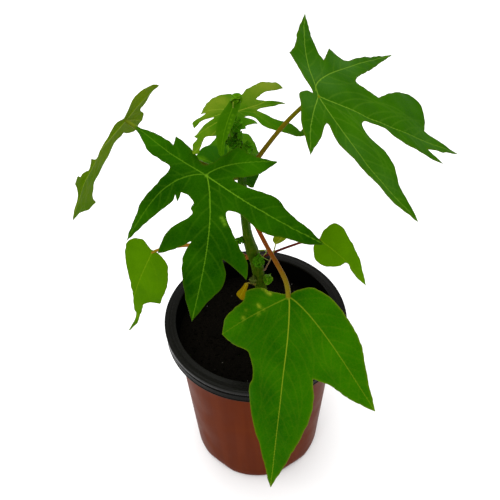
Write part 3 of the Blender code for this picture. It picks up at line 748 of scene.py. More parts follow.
def make_blade(leaf):
    """A thin two-sided blade with sunken veins above, raised veins below, and a softly waved margin."""
    look = leaf.look
    curve = uneven(outline_curve(leaf.outline, look.spacing), leaf.reach)
    loop = np.array([tuple(point) for point in curve])
    main, side = vein_network(leaf, loop)
    points = blade_points(leaf, loop, curve, main, side)
    ring = list(range(len(curve)))
    edges = list(zip(ring, ring[1:] + ring[:1]))
    drawn, _, faces, _, _, _ = geometry.delaunay_2d_cdt(
        [Vector(point) for point in points], edges, [ring], 1, 1e-5
    )
    flat = np.array([tuple(point) for point in drawn])
    count = len(flat)
    from_seat = np.hypot(flat[:, 0], flat[:, 1])

    rib_away, rib_share, rib_number = along_lines(main, flat)
    rib_half = rib_width(look, rib_share)
    side_away, side_size = np.full(count, FAR_OFF[0]), np.ones(count)
    if side:
        side_away, side_share, _ = along_lines(side, flat)
        side_size = 1 - SIDE_VEIN_THINNING * side_share
    edge_away, _ = distances(nearness(curve), flat)

    margin = np.exp(-edge_away / MARGIN_REACH)
    swell = 1 - np.exp(-rib_away / RIB_SWELL_REACH)
    middle = leaf.lift(flat) + look.bulge * swell * np.minimum(1, from_seat / SWELL_FROM_SEAT)
    middle += SIDE_SWELL * look.bulge * (1 - near(side_away, SIDE_SWELL_REACH)) * (1 - margin)
    middle += look.ruffle * margin * waves(flat, leaf.name + " margin", *MARGIN_WAVES)
    middle += BLADE_WAVING * look.ruffle * waves(flat, leaf.name + " blade", *BLADE_WAVES)
    half = leaf.thickness / 2 * (1 - EDGE_THINNING * np.exp(-edge_away / EDGE_REACH))
    side_form = near(side_away, SIDE_VEIN_WIDTH)
    groove = RIB_GROOVE * rib_half * near(rib_away, rib_half) + SIDE_GROOVE * side_form
    ridge = RIB_RIDGE * rib_half * near(rib_away, RIDGE_WIDTH * rib_half) + SIDE_RIDGE * side_size * side_form
    inner = 1 - np.exp(-edge_away / RELIEF_FROM_EDGE)
    top = leaf.place(flat, middle + half - groove * inner)
    bottom = leaf.place(flat, middle - half - ridge * inner)

    vein = np.clip(2 * (1 - rib_away / rib_half), 0, 1) * (1 - RIB_FADING * rib_share)
    vein *= np.array(rib_strengths(leaf.outline))[rib_number]
    heart = np.exp(-((from_seat / (HEART_RADIUS * look.rib)) ** 4))
    fields = {
        "vein": np.maximum(vein, heart),
        "side_vein": side_size * near(side_away, SIDE_VEIN_COLOUR_WIDTH) * inner,
        "margin": np.exp(-edge_away / MARGIN_COLOUR_WIDTH),
        "tone": 0.5 + leaf.marked("tone", flat),
        "bloom": leaf.marked("bloom", flat),
        "pale": leaf.marked("pale", flat),
    }
    fields = {key: np.tile(values, 2) for key, values in fields.items()}
    fields["below"] = np.repeat([0.0, 1.0], count)
    fields["flat"] = np.tile(np.column_stack([flat, np.zeros(count)]), (2, 1))
    closed = two_sided([tuple(face) for face in faces], count)
    return finish_mesh("leaf_" + leaf.name, np.concatenate([top, bottom]), closed, fields)


def stem_at(height):
    """The stem's centre and radius at a height, on a smooth curve through its stations."""
    last = len(STEM) - 1
    index = next((at for at in range(last) if height <= STEM[at + 1][0]), last - 1)
    low, high = STEM[index], STEM[index + 1]
    share = (height - low[0]) / (high[0] - low[0])
    before, after = STEM[max(index - 1, 0)], STEM[min(index + 2, last)]
    stations = [Vector(station) for station in (before, low, high, after)]
    smooth = spline(*stations, share)
    radius = low[3] + (high[3] - low[3]) * share
    return Vector((smooth[1], smooth[2], height)), radius


def sweep(name, centres, radii, sides, relief, end_facing=None):
    """A closed tube through centres. relief(ring, angle) is added to the radius at each point."""
    verts, shares, arounds = [], [], []
    across = None
    last = len(centres) - 1
    for ring, (centre, radius) in enumerate(zip(centres, radii)):
        ahead = (centres[min(ring + 1, last)] - centres[max(ring - 1, 0)]).normalized()
        if ring == last and end_facing is not None:
            ahead = end_facing
        if across is None:
            across = Vector((1.0, 0.0, 0.0)) if abs(ahead.x) < 0.9 else Vector((0.0, 1.0, 0.0))
        across = (across - ahead * across.dot(ahead)).normalized()
        over = ahead.cross(across)
        for side in range(sides):
            angle = math.tau * side / sides
            out = across * math.cos(angle) + over * math.sin(angle)
            verts.append(centre + out * (radius + relief(ring, angle)))
            shares.append(ring / last)
            arounds.append(centre + out * radius)
    faces = []
    for low in range(0, last * sides, sides):
        for side in range(sides):
            ahead = (side + 1) % sides
            faces.append((low + side, low + ahead, low + sides + ahead, low + sides + side))
    faces.append(tuple(range(sides))[::-1])
    faces.append(tuple(range(last * sides, (last + 1) * sides)))
    return finish_mesh(name, verts, faces, {"share": shares, "flat": arounds})


def make_stem():
    """The main stem with its flared foot, leaf scars and faint lengthwise ribs."""
    foot, tip = STEM[0][0], STEM[-1][0]
    rings = round((tip - foot) / STEM_RING_STEP)
    heights = [foot + (tip - foot) * ring / rings for ring in range(rings + 1)]
    stations = [stem_at(height) for height in heights]

    def relief(ring, angle):
        height = heights[ring]
        bulge = STEM_RIDGE * math.sin(STEM_RIDGES * angle + height * 0.03)
        bulge += STEM_LUMP * noise.noise((height * 0.09, angle * 1.5, 0))
        for scar_height, azimuth, width in SCARS:
            up = (height - scar_height) / (SCAR_HEIGHT * width)
            turn = (math.degrees(angle) - azimuth + 180) % 360 - 180
            around = turn / (SCAR_TURN * width)
            away = up * up + around * around
            bulge += SCAR_BULGE * math.exp(-away) - SCAR_HOLLOW * math.exp(-away * SCAR_HOLLOW_RATE)
        return bulge

    centres = [centre for centre, _ in stations]
    return sweep("main_stem", centres, [radius for _, radius in stations], STEM_SIDES, relief)


def bezier(start, leave, arrive, end, share):
    """A point of the smooth curve from start to end, which heads for leave and comes in from arrive."""
    left = 1 - share
    return start * left**3 + leave * (3 * left**2 * share) + arrive * (3 * left * share**2) + end * share**3


def make_stalk(leaf, height, azimuth, leaving, rise, arriving, radii, join):
    """A leaf stalk from inside the stem's bark to its blade, swollen at its foot."""
    end, direction = leaf.under() if join == "under" else leaf.beside(join)
    centre, stem_radius = stem_at(height)
    axis = (stem_at(height + 1)[0] - stem_at(height - 1)[0]).normalized()
    turn = math.radians(azimuth)
    outward = Vector((math.cos(turn), math.sin(turn), 0.0))
    outward = (outward - axis * outward.dot(axis)).normalized()
    root = centre + outward * (stem_radius - STALK_SINK)
    bend = centre + outward * (stem_radius + STALK_STANDOFF * radii[0])
    leave = bend + outward * leaving + Vector((0.0, 0.0, rise))
    controls = (bend, leave, end - direction * arriving, end)
    shares = [ring / STALK_RINGS for ring in range(STALK_RINGS + 1)]
    centres = [root] + [bezier(*controls, share) for share in shares]
    thickness = [radii[0] * STALK_FOOT]
    for share in shares:
        radius = radii[0] + (radii[1] - radii[0]) * share
        thickness.append(radius * (1 + STALK_SWELLING * math.exp(-share * STALK_SWELLING_RATE)))
    seed = azimuth * 0.1

    def relief(ring, angle):
        lump = noise.noise((ring * 0.35, angle, seed))
        return STALK_RELIEF * radii[0] * (math.sin(STALK_RIDGES * angle + ring * 0.05) + lump)

    return sweep("petiole_" + leaf.name, centres, thickness, STALK_SIDES, relief, direction)


class Graph:
    """A node material under construction, with one short method for each kind of node it uses."""

    def __init__(self, name):
        self.material = bpy.data.materials.new(name)
        self.material.use_nodes = True
        self.nodes = self.material.node_tree.nodes
        self.shader = self.nodes["Principled BSDF"]
        self.flat = self.attribute("flat", "Vector")

    def put(self, value, socket):
        """Links a socket to value, or sets it: a tuple is a colour of 0 to 255."""
        if isinstance(value, bpy.types.NodeSocket):
            self.material.node_tree.links.new(value, socket)
        else:
            socket.default_value = tone(value) if isinstance(value, tuple) else value

    def node(self, kind, output, inputs, **settings):
        """Adds a node with its settings and what goes into it, and gives one of its outputs."""
        node = self.nodes.new("ShaderNode" + kind)
        for name, value in settings.items():
            setattr(node, name, value)
        for name, value in inputs.items():
            self.put(value, node.inputs[name])
        return node.outputs[output]

    def attribute(self, name, field="Fac"):
        return self.node("Attribute", field, {}, attribute_name=name)

    def noise(self, scale, detail=3.0, stretch=None):
        vector = self.flat
        if stretch:
            vector = self.node("Mapping", "Vector", {"Vector": vector, "Scale": Vector(stretch)})
        return self.node("TexNoise", "Fac", {"Vector": vector, "Scale": scale, "Detail": detail})

    def cells(self, scale):
        """How far each point is from the border between the cells of a random pattern."""
        inputs = {"Vector": self.flat, "Scale": scale}
        return self.node("TexVoronoi", "Distance", inputs, feature="DISTANCE_TO_EDGE")

    def spread(self, value, low, high, to_low=0.0, to_high=1.0):
        """Maps low to to_low and high to to_high, smoothly and no further."""
        inputs = {"Value": value, "From Min": low, "From Max": high, "To Min": to_low, "To Max": to_high}
        return self.node("MapRange", "Result", inputs, interpolation_type="SMOOTHSTEP")

    def math(self, operation, first, second):
        return self.node("Math", "Value", {0: first, 1: second}, operation=operation)

    def mix(self, share, first, second):
        return self.node("Mix", "Result", {"Factor": share, "A": first, "B": second}, data_type="RGBA")

    def bump(self, height, strength, distance):
        inputs = {"Height": height, "Strength": strength, "Distance": distance * METRES_PER_MM}
        self.put(self.node("Bump", "Normal", inputs), self.shader.inputs["Normal"])

    def finish(self, colour, roughness, specular, tint=(1.0, 1.0, 1.0)):
        """Sets the surface's colour, roughness, how strongly it reflects, and the tint of that."""
        self.put(colour, self.shader.inputs["Base Color"])
        self.put(roughness, self.shader.inputs["Roughness"])
        self.put(specular, self.shader.inputs["Specular IOR Level"])
        self.shader.inputs["Specular Tint"].default_value = (*tint, 1.0)
        return self.material


def tone(colour):
    """A linear colour with alpha from red, green and blue of 0 to 255."""
    channels = [value / 255 for value in colour]
    linear = [value / 12.92 if value <= 0.04045 else ((value + 0.055) / 1.055) ** 2.4 for value in channels]
    return (*linear, 1.0)


def leaf_material(name, look):
    """Leaf skin: mottled green, a faint net of small veins, pale ribs, painted sheen and a matt underside."""
    graph = Graph("skin_" + name)
    patches = graph.spread(graph.noise(0.06, 2.0), 0.3, 0.7, -0.17, 0.17)
    mottle = graph.noise(0.9, 3.0)
    net = graph.spread(graph.cells(0.42), 0.0, 0.12, 1.0, 0.0)
    share = graph.math("ADD", graph.attribute("tone"), patches)
    share = graph.math("ADD", share, graph.spread(mottle, 0.3, 0.7, -0.05, 0.05))
    # Painted sheen: a bluish reflection of the light, painted in where the marks call for it
    bloom = graph.math("MULTIPLY", graph.attribute("bloom"), graph.spread(mottle, 0.3, 0.6, 0.5, 1.0))
    pale = graph.math("MULTIPLY", graph.attribute("pale"), graph.spread(mottle, 0.3, 0.55, 0.4, 1.0))
    sides = []
    for dark, light, vein in (look.top, look.under or look.top):
        green = graph.mix(share, dark, light)
        green = graph.mix(bloom, green, look.bloom)
        green = graph.mix(graph.math("MULTIPLY", net, 0.035), green, vein)
        green = graph.mix(graph.math("MULTIPLY", graph.attribute("side_vein"), look.side), green, vein)
        green = graph.mix(graph.math("MULTIPLY", graph.attribute("margin"), 0.5), green, look.margin)
        green = graph.mix(pale, green, vein)
        sides.append(graph.mix(graph.attribute("vein"), green, vein))
    colour = graph.mix(graph.attribute("below"), *sides)
    height = graph.math("ADD", graph.math("MULTIPLY", net, -0.4), graph.math("MULTIPLY", mottle, 0.5))
    graph.bump(height, 0.3, 0.22)
    roughness = graph.spread(mottle, 0.3, 0.7, 0.4, 0.52)
    return graph.finish(colour, roughness, 0.015, (0.3, 1.0, 0.05))


def stalk_material(key, first, last):
    """Stalk skin, which changes colour along its length, with fine lengthwise streaks."""
    graph = Graph("stalk_skin_" + key)
    share = graph.attribute("share")
    streaks = graph.noise(0.9, 4.0)
    blend = graph.math("ADD", share, graph.spread(streaks, 0.2, 0.8, -0.12, 0.12))
    colour = graph.mix(graph.spread(blend, 0.15, 0.95), first, last)
    darker = tuple(int(value * 0.72) for value in first)
    colour = graph.mix(graph.spread(streaks, 0.5, 0.8, 0.0, 0.5), colour, darker)
    graph.bump(streaks, 0.3, 0.3)
    return graph.finish(colour, 0.42, 0.05, (1.0, 0.7, 0.2))


STEM_GREEN = (42, 73, 0)
STEM_OLIVE = (64, 82, 6)
STEM_BROWN = (82, 58, 24)
# Painted shade: the darker green of the upper stem, where the leaves shade it
STEM_PAINTED_SHADE = (24, 62, 0)
STEM_SCAR = (112, 112, 60)


def stem_material():
    """Young stem skin: olive-streaked green, brown towards the foot, and painted shade darker further up."""
    graph = Graph("stem_skin")
    share = graph.attribute("share")
    streaks = graph.noise(0.5, 4.0, (1.6, 1.6, 0.35))
    specks = graph.noise(1.4, 2.0)
    colour = graph.mix(graph.spread(streaks, 0.35, 0.65), STEM_GREEN, STEM_OLIVE)
    streaked = graph.spread(streaks, 0.3, 0.7, 0.0, 0.4)
    foot = graph.math("SUBTRACT", graph.spread(share, 0.0, 0.3, 0.9, 0.0), streaked)
    colour = graph.mix(foot, colour, STEM_BROWN)
    # Painted shade, darkening the stem from about its middle up, where the leaves shade it
    colour = graph.mix(graph.spread(share, 0.45, 0.75, 0.0, 0.8), colour, STEM_PAINTED_SHADE)
    colour = graph.mix(graph.spread(specks, 0.62, 0.72, 0.0, 0.6), colour, STEM_SCAR)
    graph.bump(graph.math("ADD", streaks, specks), 0.5, 0.4)
    return graph.finish(colour, 0.5, 0.02, (0.7, 1.0, 0.1))


def turned(name, profile, segments, shape=None):
    """A closed solid turned about Z from a profile of (radius, height, inner), which keeps inner."""
    verts, inner, rings = [], [], []
    for radius, height, within in profile:
        ring = []
        steps = 1 if radius == 0.0 else segments
        for step in range(steps):
            angle = math.tau * step / segments
            out, up = shape(radius, height, angle) if shape else (radius, height)
            ring.append(len(verts))
            verts.append((out * math.cos(angle), out * math.sin(angle), up))
            inner.append(within)
        rings.append(ring)
    pairs = list(zip(rings, rings[1:] + rings[:1]))
    if len(rings[0]) == 1:
        pairs.pop()
    faces = []
    for low, high in pairs:
        for step in range(segments):
            ahead = (step + 1) % segments
            corners = [(high, ahead), (high, step), (low, step), (low, ahead)]
            faces.append(tuple(dict.fromkeys(ring[at % len(ring)] for ring, at in corners)))
    return finish_mesh(name, verts, faces, {"inner": inner, "flat": verts}, 35.0)


def body_radius(height):
    """The pot's outer radius at a height."""
    return BASE_RADIUS + (BODY_TOP_RADIUS - BASE_RADIUS) * height / BODY_TOP


def notched_foot(radius, height, angle):
    """Where a point of the pot's profile lies at an angle, with the notches moulded in its lower edge."""
    if height <= NOTCH_HEIGHT and radius > BASE_RADIUS - 3 * BASE_ROUNDING:
        wave = max(0.0, math.cos((angle - math.radians(NOTCH_TURN)) * NOTCHES)) ** 2
        radius -= NOTCH_DEPTH * wave * (1 - height / NOTCH_HEIGHT)
    return radius, height


def make_pot():
    """The thin wall: brown outside, black inside, with a rounded foot."""
    profile = [(0.0, 0.0, 0.0), (BASE_RADIUS - BASE_MARGIN, 0.0, 0.0)]
    centre = BASE_RADIUS - BASE_ROUNDING
    for step in range(10):
        angle = math.radians(-90 + 10 * step)
        up = BASE_ROUNDING * (1 + math.sin(angle))
        profile.append((centre + BASE_ROUNDING * math.cos(angle), up, 0.0))
    for step in range(WALL_STEPS + 1):
        height = BASE_ROUNDING + 1 + (BODY_TOP - BASE_ROUNDING - 1) * step / WALL_STEPS
        profile.append((body_radius(height), height, 0.0))
    profile.append((body_radius(BODY_TOP) - WALL, BODY_TOP, 1.0))
    inner_foot = FLOOR + BASE_ROUNDING
    inner_radius = body_radius(inner_foot) - WALL - NOTCH_DEPTH
    profile.append((inner_radius, inner_foot + NOTCH_HEIGHT, 1.0))
    profile.append((inner_radius - BASE_ROUNDING, FLOOR, 1.0))
    profile.append((0.0, FLOOR, 1.0))
    return turned("pot_shell", profile, POT_SEGMENTS, notched_foot)


# Rim profile: the place that each part is measured from, and its corners as (further out, higher)
RIM_PARTS = [
    (RIM_INNER_RADIUS, POT_HEIGHT, [(0, -RIM_PLATE), (0, -0.4), (0.4, 0)]),
    (RIM_INNER_RADIUS, POT_HEIGHT, [(2.2, 0), (2.7, -0.3), (4.2, -0.3), (4.7, 0)]),
    (RIM_RADIUS, POT_HEIGHT, [(-1.2, 0), (-0.6, -0.15), (-0.2, -0.5), (0, -1.0)]),
    (RIM_RADIUS, RIM_GROOVE, [(-0.2, 1.2), (-0.6, 0.5), (-1.5, 0), (-1.4, -0.7), (-0.6, -1.4)]),
    (RIM_RADIUS, RIM_LIP, [(-0.8, 1.4), (-0.5, 1.0), (-0.6, 0.4), (-1.2, 0), (-2.4, 0)]),
    (RIM_RADIUS, POT_HEIGHT, [(-2.9, -RIM_PLATE)]),
]


def make_rim():
    """The black rim: a flat ring on top, a rounded shoulder, a groove and a rolled lower lip."""
    under = POT_HEIGHT - RIM_PLATE
    profile = []
    for radius, height, corners in RIM_PARTS:
        profile += [(radius + out, height + up, float(height + up < under)) for out, up in corners]
    return turned("pot_rim_ring", profile, POT_SEGMENTS)


POT_BROWN = (88, 34, 7)
POT_DEEP = (82, 30, 6)
POT_DUST = (96, 44, 18)
LINING_BLACK = (5, 5, 4)
RIM_BLACK = (11, 11, 7)
# Painted shade: the rim's skirt, below its top plate, is coloured darker than the same plastic on top
RIM_SKIRT_PAINTED_SHADE = (4, 4, 2)
RIM_DUST = (36, 36, 30)


def pot_material():
    """Thin brown plastic, a little dusty and streaked up and down, with a black lining."""
    graph = Graph("pot_plastic")
    streaks = graph.noise(0.16, 1.0, (1.0, 1.0, 0.04))
    grain = graph.noise(2.2, 2.0)
    dust = graph.noise(0.05, 5.0)
    colour = graph.mix(graph.spread(streaks, 0.3, 0.7), POT_BROWN, POT_DEEP)
    colour = graph.mix(graph.spread(dust, 0.5, 0.8, 0.0, 0.35), colour, POT_DUST)
    colour = graph.mix(graph.attribute("inner"), colour, LINING_BLACK)
    ridges = graph.math("MULTIPLY", streaks, 0.2)
    graph.bump(graph.math("ADD", ridges, graph.math("MULTIPLY", grain, 0.3)), 0.2, 0.3)
    gloss = graph.spread(graph.attribute("inner"), 0.0, 1.0, 0.011, 0.0)
    return graph.finish(colour, graph.spread(dust, 0.3, 0.8, 0.34, 0.5), gloss, (1.0, 0.3, 0.1))


def rim_material():
    """Black moulded plastic with fine scuffs and a little dust, and painted shade on its skirt."""
    graph = Graph("rim_plastic")
    scuffs = graph.noise(0.8, 5.0, (1.0, 1.0, 3.0))
    specks = graph.noise(2.6, 2.0)
    colour = graph.mix(graph.spread(scuffs, 0.55, 0.85, 0.0, 0.3), RIM_BLACK, RIM_DUST)
    colour = graph.mix(graph.spread(specks, 0.74, 0.8, 0.0, 0.5), colour, RIM_DUST)
    # Painted shade: on the rim, inner marks the skirt, which is coloured darker than the top
    colour = graph.mix(graph.attribute("inner"), colour, RIM_SKIRT_PAINTED_SHADE)
    graph.bump(scuffs, 0.15, 0.15)
    gloss = graph.spread(graph.attribute("inner"), 0.0, 1.0, 0.055, 0.022)
    return graph.finish(colour, graph.spread(scuffs, 0.3, 0.8, 0.24, 0.4), gloss)


def soil_height(x, y):
    """How high the crumbled soil surface stands at a flat place."""
    away = math.hypot(x, y) / SOIL_RADIUS
    lumps = sum(depth * noise.noise((x * rate, y * rate, seed)) for rate, depth, seed in SOIL_LAYERS)
    return SOIL_TOP - SOIL_MOUND * away**2 - SOIL_SINK + lumps


def make_soil():
    """The potting mix: a closed body whose top is crumbled all over."""
    verts = [(0.0, 0.0, soil_height(0.0, 0.0))]
    for ring in range(1, SOIL_RINGS + 1):
        radius = SOIL_RADIUS * ring / SOIL_RINGS
        for step in range(SOIL_SEGMENTS):
            angle = math.tau * (step + 0.5 * (ring % 2)) / SOIL_SEGMENTS
            x, y = radius * math.cos(angle), radius * math.sin(angle)
            verts.append((x, y, soil_height(x, y)))
    faces = disc_faces(SOIL_RINGS, SOIL_SEGMENTS)
    outer, bottom = len(verts) - SOIL_SEGMENTS, len(verts)
    for step in range(SOIL_SEGMENTS):
        angle = math.tau * step / SOIL_SEGMENTS
        verts.append((SOIL_FOOT_RADIUS * math.cos(angle), SOIL_FOOT_RADIUS * math.sin(angle), FLOOR + GAP))
    faces += ring_faces(outer, bottom, SOIL_SEGMENTS)
    faces.append(tuple(range(bottom, bottom + SOIL_SEGMENTS))[::-1])
    return finish_mesh("potting_mix", verts, faces, {"flat": verts, "pale": np.zeros(len(verts))}, 80.0)


def lump():
    """The corners and faces of a solid with twenty equal sides, which every crumb is pressed from."""
    gold = (1 + math.sqrt(5)) / 2
    corners = []
    for first in (-1, 1):
        for second in (-gold, gold):
            corners += [(0, first, second), (first, second, 0), (second, 0, first)]
    faces = []
    for chosen in combinations(range(len(corners)), 3):
        first, second, third = (Vector(corners[at]) for at in chosen)
        if max((first - second).length, (second - third).length, (first - third).length) < LUMP_EDGE:
            outward = (second - first).cross(third - first).dot(first) > 0
            faces.append(chosen if outward else (chosen[0], chosen[2], chosen[1]))
    return corners, faces


def crumb(rng, size, corners):
    """The points of one small angular lump about the origin."""
    stretch = [rng.uniform(0.6, 1.3) for _ in range(3)]
    turn = Matrix.Rotation(rng.uniform(0, math.tau), 3, Vector([rng.uniform(-1, 1) for _ in range(3)]))
    points = []
    for corner in corners:
        length = size * rng.uniform(0.75, 1.15) / math.hypot(*corner)
        points.append(turn @ Vector([value * scale * length for value, scale in zip(corner, stretch)]))
    return points


def make_crumbs():
    """Loose crumbs of soil, and a few pale grains, all lying on the surface."""
    rng = random.Random("crumbs")
    corners, sides = lump()
    verts, faces, pale = [], [], []
    for number in range(CRUMBS + GRAINS):
        light = number >= CRUMBS
        radius = SOIL_RADIUS * math.sqrt(rng.random()) * 0.985
        angle = rng.uniform(0, math.tau)
        size = rng.uniform(*GRAIN_SIZES) if light else rng.uniform(*CRUMB_SIZES) * rng.uniform(0.5, 1.0)
        x, y = radius * math.cos(angle), radius * math.sin(angle)
        points = crumb(rng, size, corners)
        lift = soil_height(x, y) + 0.3 * size
        start = len(verts)
        verts += [(x + point.x, y + point.y, lift + point.z) for point in points]
        faces += [tuple(start + corner for corner in face) for face in sides]
        pale += [rng.uniform(0.5, 1.0) if light else 0.0] * len(points)
    return finish_mesh("soil_crumbs", verts, faces, {"flat": verts, "pale": pale}, 30.0)


SOIL_BLACK = (4, 3, 1)
SOIL_BROWN = (15, 11, 6)
SOIL_GREY = (86, 82, 76)


def soil_material():
    """Dark moist potting mix with brown fibres and pale grains."""
    graph = Graph("soil_mix")
    grain = graph.noise(1.6, 6.0)
    patches = graph.noise(0.12, 3.0)
    colour = graph.mix(graph.spread(grain, 0.4, 0.75), SOIL_BLACK, SOIL_BROWN)
    colour = graph.mix(graph.spread(patches, 0.4, 0.7, 0.0, 0.5), colour, SOIL_BLACK)
    colour = graph.mix(graph.attribute("pale"), colour, SOIL_GREY)
    graph.bump(grain, 0.8, 0.6)
    return graph.finish(colour, 0.85, 0.03)


# Small crinkled leaves that are packed into tufts: rings from the middle to the margin, and steps round
BUD_RINGS = 7
BUD_STEPS = 36
BUD_THICKNESS = 0.22
BUD_TILT = 0.3
BUD_LIFT = 0.3
LOBE_DROOP = 0.15
BUD_VEIN_NARROWING = 24


def bud_leaf(rng, base, facing, size, cup, folds, lobing):
    """One small crinkled leaf that cups round its base, as points and vein strengths."""
    side = facing.orthogonal().normalized()
    side.rotate(Matrix.Rotation(rng.uniform(0, math.tau), 3, facing))
    over = facing.cross(side)
    lobes = rng.choice((3, 4, 5))
    phase = rng.uniform(0, math.tau)
    points, veins = [base], [1.0]
    for ring in range(1, BUD_RINGS + 1):
        share = ring / BUD_RINGS
        for step in range(BUD_STEPS):
            angle = math.tau * step / BUD_STEPS
            lobe = 0.5 + 0.5 * math.cos(lobes * angle + phase)
            radius = size * share * (1 - lobing * (1 - lobe))
            ruffle = folds * size * share**1.5 * math.sin(3 * angle + 2 * phase + 2 * share)
            height = cup * size * share**2 + ruffle - LOBE_DROOP * size * lobe * share
            level = side * (radius * math.cos(angle)) + over * (radius * math.sin(angle))
            points.append(base + level + facing * height)
            veins.append(lobe**BUD_VEIN_NARROWING * (1 - 0.5 * share))
    return points, veins


def make_cluster(name, centre, spread, size, count, cup, folds, lobing):
    """A tuft of small crinkled leaves round a centre, each facing outward."""
    rng = random.Random(name)
    leaf_points = 1 + BUD_RINGS * BUD_STEPS
    closed = two_sided(disc_faces(BUD_RINGS, BUD_STEPS), leaf_points)
    verts, faces, veins, tones = [], [], [], []
    for number in range(count):
        rise = 1 - 2 * (number + 0.5) / count
        turn = number * math.pi * (3 - math.sqrt(5))
        level = math.sqrt(1 - rise * rise)
        way = Vector((level * math.cos(turn), level * math.sin(turn), rise))
        base = Vector(centre) + Vector([way[axis] * spread[axis] for axis in range(3)])
        tilt = Vector([rng.uniform(-BUD_TILT, BUD_TILT) for _ in range(3)])
        facing = (way + Vector((0, 0, BUD_LIFT)) + tilt).normalized()
        grown = size * rng.uniform(0.7, 1.2)
        bent = cup + rng.uniform(-0.2, 0.2)
        points, leaf_veins = bud_leaf(rng, base, facing, grown, bent, folds, lobing)
        faces += [tuple(len(verts) + corner for corner in face) for face in closed]
        verts += points + [point - facing * BUD_THICKNESS for point in points]
        veins += leaf_veins * 2
        tones += [rng.uniform(0.1, 0.9)] * (2 * leaf_points)
    margins = ([0.0] * (leaf_points - BUD_STEPS) + [1.0] * BUD_STEPS) * 2 * count
    below = ([0.0] * leaf_points + [1.0] * leaf_points) * count
    fields = {"vein": veins, "margin": margins, "below": below, "tone": tones, "flat": verts}
    return finish_mesh(name, verts, faces, fields, 70.0)


# Tufts: node, centre, half-widths of the tuft, size of its leaves, how many there are, how far they cup
# outward, how deep they fold, how deep their lobes are cut, and their look
TUFTS = {
    "crown_tuft": ("shoot_tip", (-9.0, 3.6, 308.6), (1.4, 1.0, 6.0), 3.9, 7, 0.5, 0.03, 0.1, SPROUT),
    "crease_tuft": ("shoot_tip", (-11.6, 3.0, 299.6), (3.6, 1.2, 1.8), 3.0, 9, 0.4, 0.1, 0.25, SHADY_BUD),
    "side_tuft": ("bud_side", (-2.9, 5.6, 294.0), (1.5, 1.4, 2.8), 3.4, 7, 0.2, 0.14, 0.25, SPROUT),
    "young_tuft": ("blade_young", (-8.3, 4.3, 327.8), (1.2, 1.0, 1.8), 3.0, 12, -0.5, 0.03, 0.1, DOME),
    "upper_tuft": ("bud_upper", (2.6, 2.8, 201.0), (2.2, 1.4, 3.6), 3.0, 14, 0.2, 0.2, 0.35, SPROUT),
    "lower_tuft": ("bud_lower", (8.8, 6.8, 179.0), (1.6, 1.6, 2.8), 4.0, 7, -0.1, 0.1, 0.2, FRESH),
    "left_sprout": ("stem", (-9.2, 7.0, 217.3), (2.7, 0.8, 1.4), 2.3, 10, 0.2, 0.2, 0.4, SPROUT),
    "left_curl": ("stem", (-1.6, 4.0, 181.6), (0.8, 0.8, 2.0), 2.3, 6, 0.3, 0.25, 0.4, GREYED),
}

# Curls: the small pale stipules by the buds, as start, bend and end, and the radius at the start
CURLS = [
    ((2.6, 6.0, 208.0), (9.6, 3.0, 212.0), (5.0, 3.6, 203.6), 0.55),
    ((3.6, 5.0, 205.0), (6.6, 3.0, 203.6), (10.2, 4.0, 200.2), 0.45),
    ((-9.9, 0.0, 328.6), (-10.3, -0.6, 326.4), (-9.7, -0.4, 323.4), 0.4),
]
CURL_COLOURS = ((96, 118, 30), (134, 146, 60))
CURL_RINGS = 14
CURL_SIDES = 10


def make_curl(number, start, bend, end, radius):
    """One curled stipule, thinning to its tip."""
    first, middle, last = (Vector(place) for place in (start, bend, end))
    shares = [ring / CURL_RINGS for ring in range(CURL_RINGS + 1)]
    centres = [bezier(first, middle, middle, last, share) for share in shares]
    radii = [radius * (1 - 0.7 * share) for share in shares]
    return sweep("stipule_%d" % number, centres, radii, CURL_SIDES, lambda ring, angle: 0.0)


FLOOR_HALF = 3000.0


def make_floor():
    """A plain pale floor under the pot."""
    corners = [(-FLOOR_HALF, -FLOOR_HALF, 0), (FLOOR_HALF, -FLOOR_HALF, 0)]
    corners += [(FLOOR_HALF, FLOOR_HALF, 0), (-FLOOR_HALF, FLOOR_HALF, 0)]
    floor = finish_mesh("floor", corners, [(0, 1, 2, 3)], {})
    material = bpy.data.materials.new("floor_white")
    material.use_nodes = True
    shader = material.node_tree.nodes["Principled BSDF"]
    shader.inputs["Base Color"].default_value = (0.95, 0.95, 0.95, 1.0)
    shader.inputs["Roughness"].default_value = 0.9
    floor.data.materials.append(material)


# Lamps: name, place, width, power in watts, with every lamp aimed at the middle of the plant
LAMP_AIM = (0.0, 0.0, 200.0)
LAMPS = [
    ("overhead", (0.0, 200.0, 2200.0), 2400.0, 43.0),
    ("front_key", (-500.0, -1300.0, 1700.0), 800.0, 12.0),
    ("left_window", (-1500.0, 200.0, 900.0), 700.0, 3.5),
]
AMBIENT = 0.76


def aim(obj, place, target):
    """Puts an object at a place in millimetres, pointing its -Z at a target."""
    obj.location = Vector(place) * METRES_PER_MM
    way = Vector(target) - Vector(place)
    obj.rotation_euler = way.to_track_quat("-Z", "Y").to_euler()


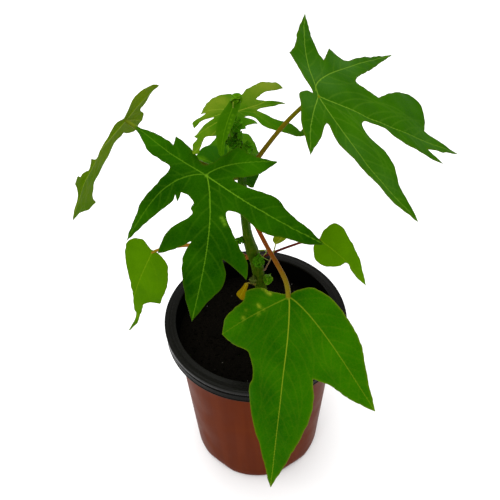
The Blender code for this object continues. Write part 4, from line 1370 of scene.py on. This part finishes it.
def make_light():
    world = bpy.data.worlds.new("studio")
    world.use_nodes = True
    background = world.node_tree.nodes["Background"]
    background.inputs["Color"].default_value = (1.0, 1.0, 1.0, 1.0)
    background.inputs["Strength"].default_value = AMBIENT
    bpy.context.scene.world = world
    for name, place, width, power in LAMPS:
        lamp = bpy.data.lights.new(name, "AREA")
        lamp.shape = "DISK"
        lamp.size = width * METRES_PER_MM
        lamp.energy = power
        obj = bpy.data.objects.new(name, lamp)
        bpy.context.scene.collection.objects.link(obj)
        aim(obj, place, LAMP_AIM)
    bpy.context.scene.view_settings.view_transform = "Standard"


def make_camera():
    data = bpy.data.cameras.new("camera")
    data.lens = CAMERA_LENS
    data.sensor_width = CAMERA_SENSOR
    data.clip_start = 0.01
    camera = bpy.data.objects.new("camera", data)
    bpy.context.scene.collection.objects.link(camera)
    aim(camera, CAMERA_PLACE, CAMERA_AIM)
    turn = camera.rotation_euler.to_matrix() @ Matrix.Rotation(math.radians(CAMERA_ROLL), 3, "Z")
    camera.rotation_euler = turn.to_euler()
    bpy.context.scene.camera = camera


def make_plant():
    for key, row in LEAVES.items():
        leaf = Leaf(key, *row)
        *course, first, last = STALKS[key]
        settle(make_blade(leaf), "blade_" + key, leaf_material(key, leaf.look))
        settle(make_stalk(leaf, *course), "stalk_" + key, stalk_material(key, first, last))
    settle(make_stem(), "stem", stem_material())
    for name, (node, centre, spread, size, count, cup, folds, lobing, look) in TUFTS.items():
        tuft = make_cluster(name, centre, spread, size, count, cup, folds, lobing)
        settle(tuft, node, leaf_material(name, look))
    curl_skin = stalk_material("stipule", *CURL_COLOURS)
    for number, curl in enumerate(CURLS):
        settle(make_curl(number, *curl), "stem", curl_skin)


def make_potting():
    settle(make_pot(), "pot", pot_material())
    settle(make_rim(), "pot_rim", rim_material())
    mix = soil_material()
    settle(make_soil(), "soil", mix)
    settle(make_crumbs(), "soil", mix)


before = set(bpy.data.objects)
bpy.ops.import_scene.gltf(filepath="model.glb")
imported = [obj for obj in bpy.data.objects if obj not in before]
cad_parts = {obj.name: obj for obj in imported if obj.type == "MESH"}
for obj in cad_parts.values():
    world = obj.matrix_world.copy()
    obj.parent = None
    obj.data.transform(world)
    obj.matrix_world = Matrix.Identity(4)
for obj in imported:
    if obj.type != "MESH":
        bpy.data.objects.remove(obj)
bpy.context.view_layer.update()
make_camera()
make_light()
make_floor()
make_potting()
make_plant()
